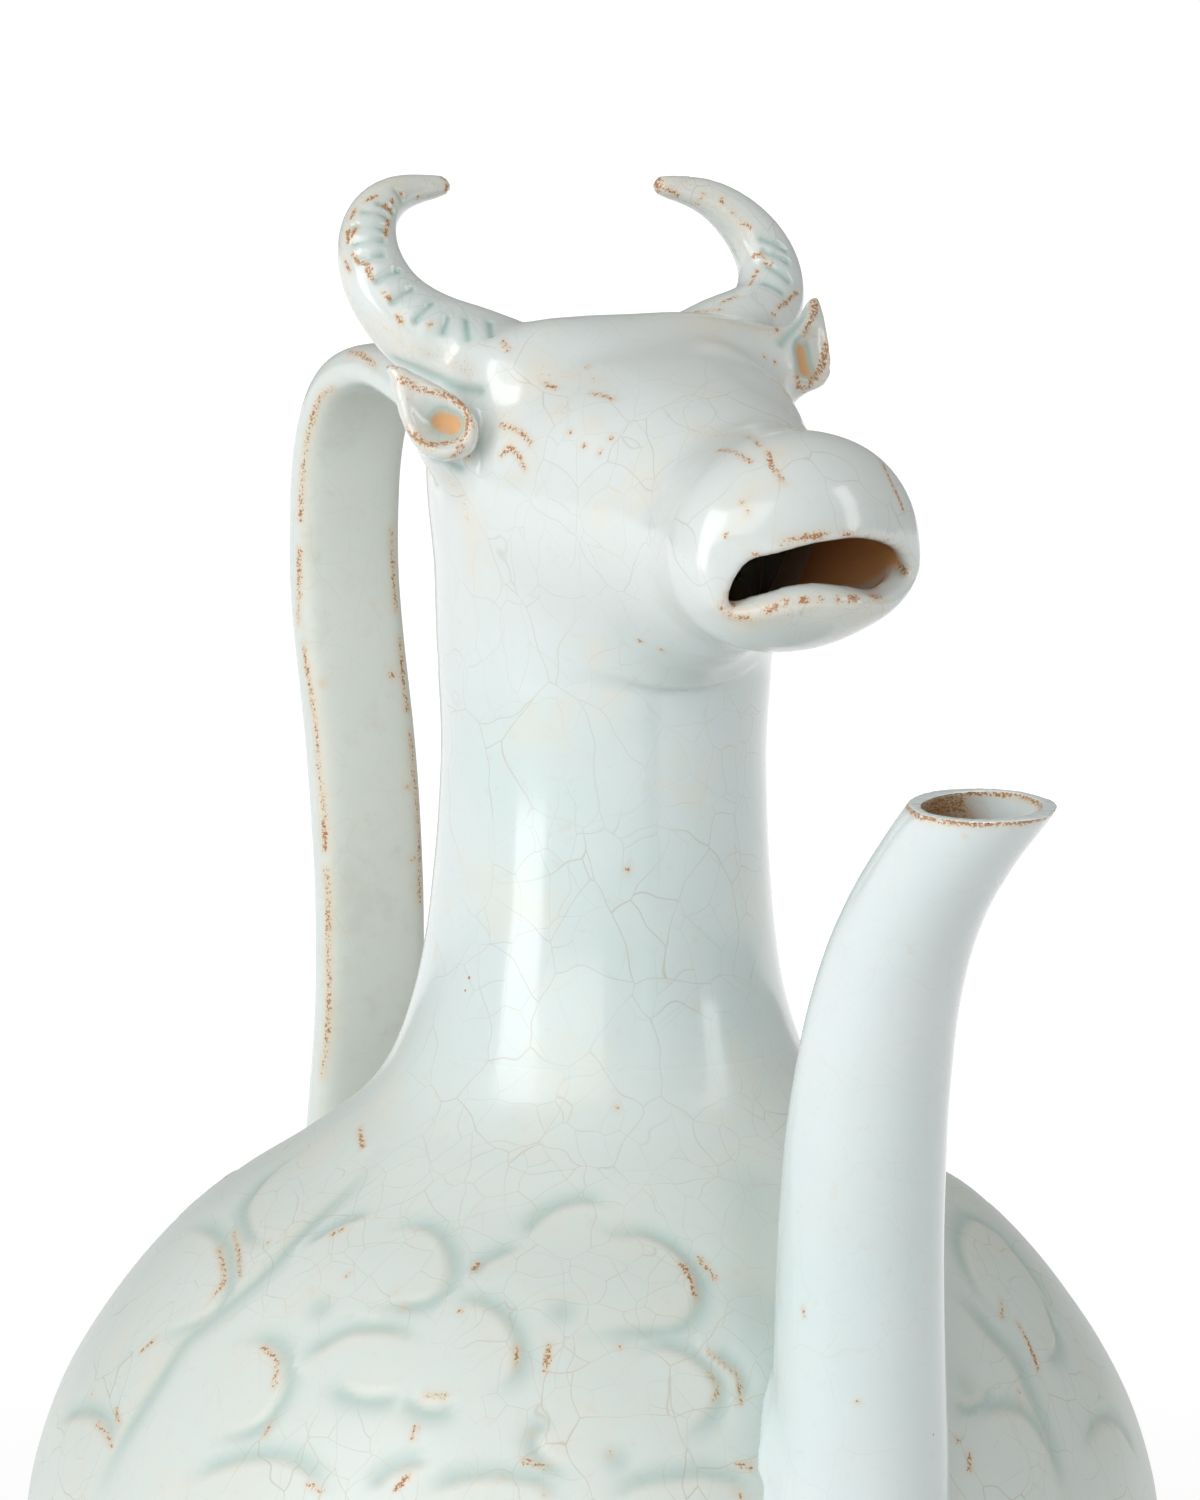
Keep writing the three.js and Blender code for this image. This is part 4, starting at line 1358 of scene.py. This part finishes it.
def crack_mask(tree, place, look):
    """The wide and the fine stained cracks."""
    lines = []
    for cells, width, strength, aside in CRACKS:
        moved = put(tree, "ShaderNodeVectorMath", {0: place, 1: aside}, operation="ADD")
        crack = shared(tree, "Crackle", crackle_group,
                       {"Vector": moved.outputs[0], "Cells": cells, "Width": width})
        lines.append(times(tree, crack, strength * look.crackle))
    return larger(tree, *lines)


def glaze_masks(tree, place, look):
    """Where each thing lies on the glaze, by name, as sockets from 0 to 1."""
    masks = {name: put(tree, "ShaderNodeAttribute", attribute_name=name).outputs["Fac"]
             for name in ("pooled", "worn", "bare", "marks", "dull")}
    masks.update(height_masks(tree, place, look))
    noises = {}
    for name, (scale, detail, roughness, low, high) in PATCHES.items():
        noises[name] = noise(tree, place, scale, detail, roughness)
        masks[name] = ramp(tree, noises[name], low, high)
    masks["dust"] = times(tree, masks["dust"], noises["cloud"])
    masks["line"] = crack_mask(tree, place, look)

    worn, marks = masks["worn"], masks["marks"]
    grains = math_node(tree, "ADD", times(tree, noise(tree, place, *IRON_GRAIN), 0.9),
                       times(tree, noises["blotch"], 0.3))
    wear = larger(tree, times(tree, worn, 0.5), times(tree, marks, 0.55))
    iron = math_node(tree, "ADD", wear, grains)
    speck = shared(tree, "Freckles", freckle_group,
                   {"Vector": place, "Amount": 0.3 * look.iron})
    masks["stain"] = larger(tree, ramp(tree, iron, *STAINED_FROM_TO), times(tree, marks, 0.45))
    masks["burnt"] = times(tree, larger(tree, ramp(tree, iron, *BURNT_FROM_TO), speck), 0.85)
    return masks


def glaze_colour(tree, masks, colours, look):
    """The glaze's colour, each layer laid over the one before it."""
    dull = masks["dull"]
    glaze = tinted(colours.glaze, look.tint)
    layers = (
        (masks["cloud"], tinted(glaze, CLOUD_TINT)),
        (masks["low"], tinted(colours.glaze, BODY_TINT)),
        (masks["high"], tinted(colours.glaze, HEAD_TINT)),
        (times(tree, masks["bloom"], look.bloom), colours.cream),
        # Thick glaze in hollows; along the spout's root this is also painted shade
        (times(tree, masks["pooled"], 0.85 * look.depth), colours.pooled),
        (times(tree, dull, 0.55), colours.dull),
        (times(tree, dull, times(tree, masks["blotch"], 0.3)), colours.cream),
        (times(tree, dull, times(tree, masks["film"], 0.16)), colours.crackle),
        (times(tree, masks["worn"], 0.7), colours.cream),
        (masks["line"], colours.crackle),
        (times(tree, masks["dust"], 0.4), colours.ochre),
        (times(tree, masks["stain"], 0.65), colours.ochre),
        (masks["burnt"], colours.rust),
        (masks["bare"], colours.clay),
    )
    base = glaze
    for share, colour in layers:
        base = mix(tree, share, base, colour)
    return base


def glaze_material(name, colours, look):
    """Glossy pale glaze with pooling and the painted shade along the spout's root, thin crests,
    crackle, iron marks and bare places.
    """
    material, tree, shader, place = new_material(name)
    masks = glaze_masks(tree, place, look)
    low, dull, bare, burnt = (masks[key] for key in ("low", "dull", "bare", "burnt"))

    rough = 0.23
    for share, added in ((burnt, 0.35), (low, 0.14), (dull, 0.35), (bare, 0.55)):
        rough = math_node(tree, "ADD", rough, times(tree, share, added), True)
    unfired = larger(tree, larger(tree, bare, dull), times(tree, low, 0.8))
    coat = math_node(tree, "SUBTRACT", 0.7, unfired, True)
    grit = math_node(tree, "ADD", 0.04, times(tree, bare, 0.9))
    grain = times(tree, noise(tree, place, *GLAZE_GRIT), grit)
    cracks = math_node(tree, "ADD", times(tree, masks["line"], 0.5), times(tree, burnt, 0.5))
    height = math_node(tree, "SUBTRACT", grain, cracks)
    bump = put(tree, "ShaderNodeBump",
               {"Height": height, "Strength": 0.35, "Distance": 0.15 * MM})
    finish = {"Base Color": glaze_colour(tree, masks, colours, look), "Roughness": rough,
              "Coat Weight": coat, "Coat Roughness": 0.09, "IOR": 1.5,
              "Normal": bump.outputs["Normal"]}
    for socket, value in finish.items():
        feed(tree, shader.inputs[socket], value)
    return material


def clay_material(name, colours):
    """Unglazed fired clay with fine turning marks."""
    material, tree, shader, place = new_material(name)
    cloud = ramp(tree, noise(tree, place, *CLAY_CLOUD), 0.3, 0.7)
    rings = put(tree, "ShaderNodeTexWave", {"Vector": place, "Scale": 180.0, "Distortion": 1.5},
                wave_type="RINGS", rings_direction="Z")
    height = math_node(tree, "ADD", math_node(tree, "MULTIPLY", rings.outputs["Fac"], 0.5),
                       noise(tree, place, *CLAY_GRIT))
    bump = put(tree, "ShaderNodeBump", {"Height": height, "Strength": 0.4, "Distance": 0.2 * MM})
    finish = {"Base Color": mix(tree, cloud, colours.clay, tinted(colours.clay, CLAY_TINT)),
              "Roughness": 0.85, "Normal": bump.outputs["Normal"]}
    for socket, value in finish.items():
        feed(tree, shader.inputs[socket], value)
    return material


def finish_piece(piece, slot, look, *nodes):
    """Gives a piece its smooth shading and material, hangs it on the root body, and hides the CAD
    nodes it stands for.
    """
    colours = bpy.context.scene.ewer_glaze
    alone(piece)
    bpy.ops.object.shade_smooth_by_angle(angle=SMOOTH_ANGLE)
    name = piece.name + "_" + slot
    if slot == "glaze":
        material = glaze_material(name, colours, look)
    else:
        material = clay_material(name, colours)
    piece.data.materials.clear()
    piece.data.materials.append(material)
    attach(piece, "root")
    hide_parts(*nodes)


# Stage

# Lamps: degrees to the right of the camera, degrees up, distance, width and height
LAMPS = {
    "key": (-51, 17, 1.3, 0.55, 1.15),
    "fill": (72, 24, 1.4, 0.3, 0.9),
    "front": (-18, 24, 2.2, 1.6, 1.6),
    "top": (-20, 78, 1.3, 0.9, 0.9),
}
LAMP_TARGET = Vector((0, 0, 0.2))


def soft_light(name, power):
    """A soft lamp aimed at the ewer's shoulder."""
    turn, rise, distance, width, height = LAMPS[name]
    place = around_view(turn, rise, distance)
    bpy.ops.object.light_add(type="AREA", location=place)
    lamp = bpy.context.object
    lamp.name = name + "_light"
    lamp.data.shape = "RECTANGLE"
    lamp.data.size = width
    lamp.data.size_y = height
    lamp.data.energy = power
    lamp.rotation_euler = (LAMP_TARGET - place).to_track_quat("-Z", "Y").to_euler()


def around_view(degrees_right, elevation, distance):
    """A place round the ewer, counted from the camera's direction."""
    angle = VIEW_AZIMUTH + math.radians(degrees_right)
    rise = math.radians(elevation)
    return Vector((math.sin(angle) * math.cos(rise), -math.cos(angle) * math.cos(rise),
                   math.sin(rise))) * distance + Vector((0, 0, AIM_HEIGHT))


CLIP_START = 0.05
FLOOR_SIZE = 14
FLOOR_GAP = 0.05 * MM
FLOOR_COLOUR = (0.8, 0.8, 0.8, 1)
FLOOR_GLOW = 1.12
FLOOR_FADE = (0.25, 1.1)
FLOOR_NEAR_SHARE = 0.7


def white_floor():
    """A floor that is seen white far off, takes the shadow, and is clear from below."""
    bpy.ops.mesh.primitive_plane_add(size=FLOOR_SIZE, location=(0, 0, -FLOOR_GAP))
    floor = bpy.context.object
    floor.name = "studio_floor"
    material, tree, shader, place = new_material("studio_white")
    shader.inputs["Base Color"].default_value = FLOOR_COLOUR
    shader.inputs["Roughness"].default_value = 0.9
    white = put(tree, "ShaderNodeEmission", {"Strength": FLOOR_GLOW})
    seen = put(tree, "ShaderNodeLightPath").outputs
    direct = larger(tree, seen["Is Camera Ray"], seen["Is Glossy Ray"])
    far = put(tree, "ShaderNodeVectorMath", {0: place}, operation="LENGTH")
    share = put(tree, "ShaderNodeMapRange",
                {"Value": far.outputs["Value"], "From Min": FLOOR_FADE[0],
                 "From Max": FLOOR_FADE[1], "To Min": FLOOR_NEAR_SHARE, "To Max": 1.0})
    share = math_node(tree, "MULTIPLY", direct, share.outputs["Result"])
    above = put(tree, "ShaderNodeMixShader",
                {0: share, 1: shader.outputs[0], 2: white.outputs[0]})
    under = put(tree, "ShaderNodeNewGeometry").outputs["Backfacing"]
    clear = put(tree, "ShaderNodeBsdfTransparent")
    surface = put(tree, "ShaderNodeMixShader",
                  {0: under, 1: above.outputs[0], 2: clear.outputs[0]})
    tree.links.new(surface.outputs[0], tree.nodes["Material Output"].inputs["Surface"])
    floor.data.materials.append(material)


ROOM_COLOUR = (1, 0.995, 0.95, 1)
ROOM_SEEN = 1.06


def white_room(strength):
    """An even light from all round, seen white whatever its strength."""
    world = bpy.data.worlds.new("white_room")
    bpy.context.scene.world = world
    world.use_nodes = True
    tree = world.node_tree
    light = tree.nodes["Background"]
    light.inputs["Color"].default_value = ROOM_COLOUR
    seen = put(tree, "ShaderNodeLightPath").outputs["Is Camera Ray"]
    level = put(tree, "ShaderNodeMapRange",
                {"Value": seen, "To Min": strength, "To Max": ROOM_SEEN})
    tree.links.new(level.outputs["Result"], light.inputs["Strength"])


class EWER_OT_set_stage(bpy.types.Operator):
    """Sets the camera, the white floor and the soft lights"""
    bl_idname = "ewer.set_stage"
    bl_label = "Set the stage"

    def execute(self, context):
        studio = context.scene.ewer_studio
        right, up, back, place = view_axes()
        bpy.ops.object.camera_add(location=place)
        camera = bpy.context.object
        camera.name = "photo_camera"
        camera.data.lens = LENS
        camera.data.sensor_width = SENSOR
        camera.data.clip_start = CLIP_START
        turn = Matrix((right, up, back)).transposed()
        camera.rotation_euler = turn.to_euler()
        context.scene.camera = camera
        context.scene.view_settings.view_transform = "Standard"
        white_floor()
        white_room(studio.sky_strength)
        for name in LAMPS:
            soft_light(name, getattr(studio, name + "_power"))
        return {"FINISHED"}


STEPS = ("throw_body", "model_head", "lute_spout", "pull_handle", "turn_foot",
         "set_stage")


class EWER_PT_workshop(bpy.types.Panel):
    """Lists the steps and settings of the ewer"""
    bl_label = "Ewer"
    bl_idname = "EWER_PT_workshop"
    bl_space_type = "VIEW_3D"
    bl_region_type = "UI"
    bl_category = "Ewer"

    def draw(self, context):
        for step in STEPS:
            self.layout.operator("ewer." + step)
        scene = context.scene
        for settings in (scene.ewer_sizes, scene.ewer_glaze, scene.ewer_studio):
            for name in settings.__annotations__:
                self.layout.prop(settings, name)


CLASSES = (EwerSizes, EwerGlaze, StudioLight, EWER_OT_throw_body, EWER_OT_model_head,
           EWER_OT_lute_spout, EWER_OT_pull_handle, EWER_OT_turn_foot,
           EWER_OT_set_stage, EWER_PT_workshop)


def register():
    for item in CLASSES:
        bpy.utils.register_class(item)
    bpy.types.Scene.ewer_sizes = bpy.props.PointerProperty(type=EwerSizes)
    bpy.types.Scene.ewer_glaze = bpy.props.PointerProperty(type=EwerGlaze)
    bpy.types.Scene.ewer_studio = bpy.props.PointerProperty(type=StudioLight)


def unregister():
    del bpy.types.Scene.ewer_studio
    del bpy.types.Scene.ewer_glaze
    del bpy.types.Scene.ewer_sizes
    for item in reversed(CLASSES):
        bpy.utils.unregister_class(item)


def main():
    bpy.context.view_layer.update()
    register()
    for step in STEPS:
        getattr(bpy.ops.ewer, step)()


if __name__ == "__main__":
    main()
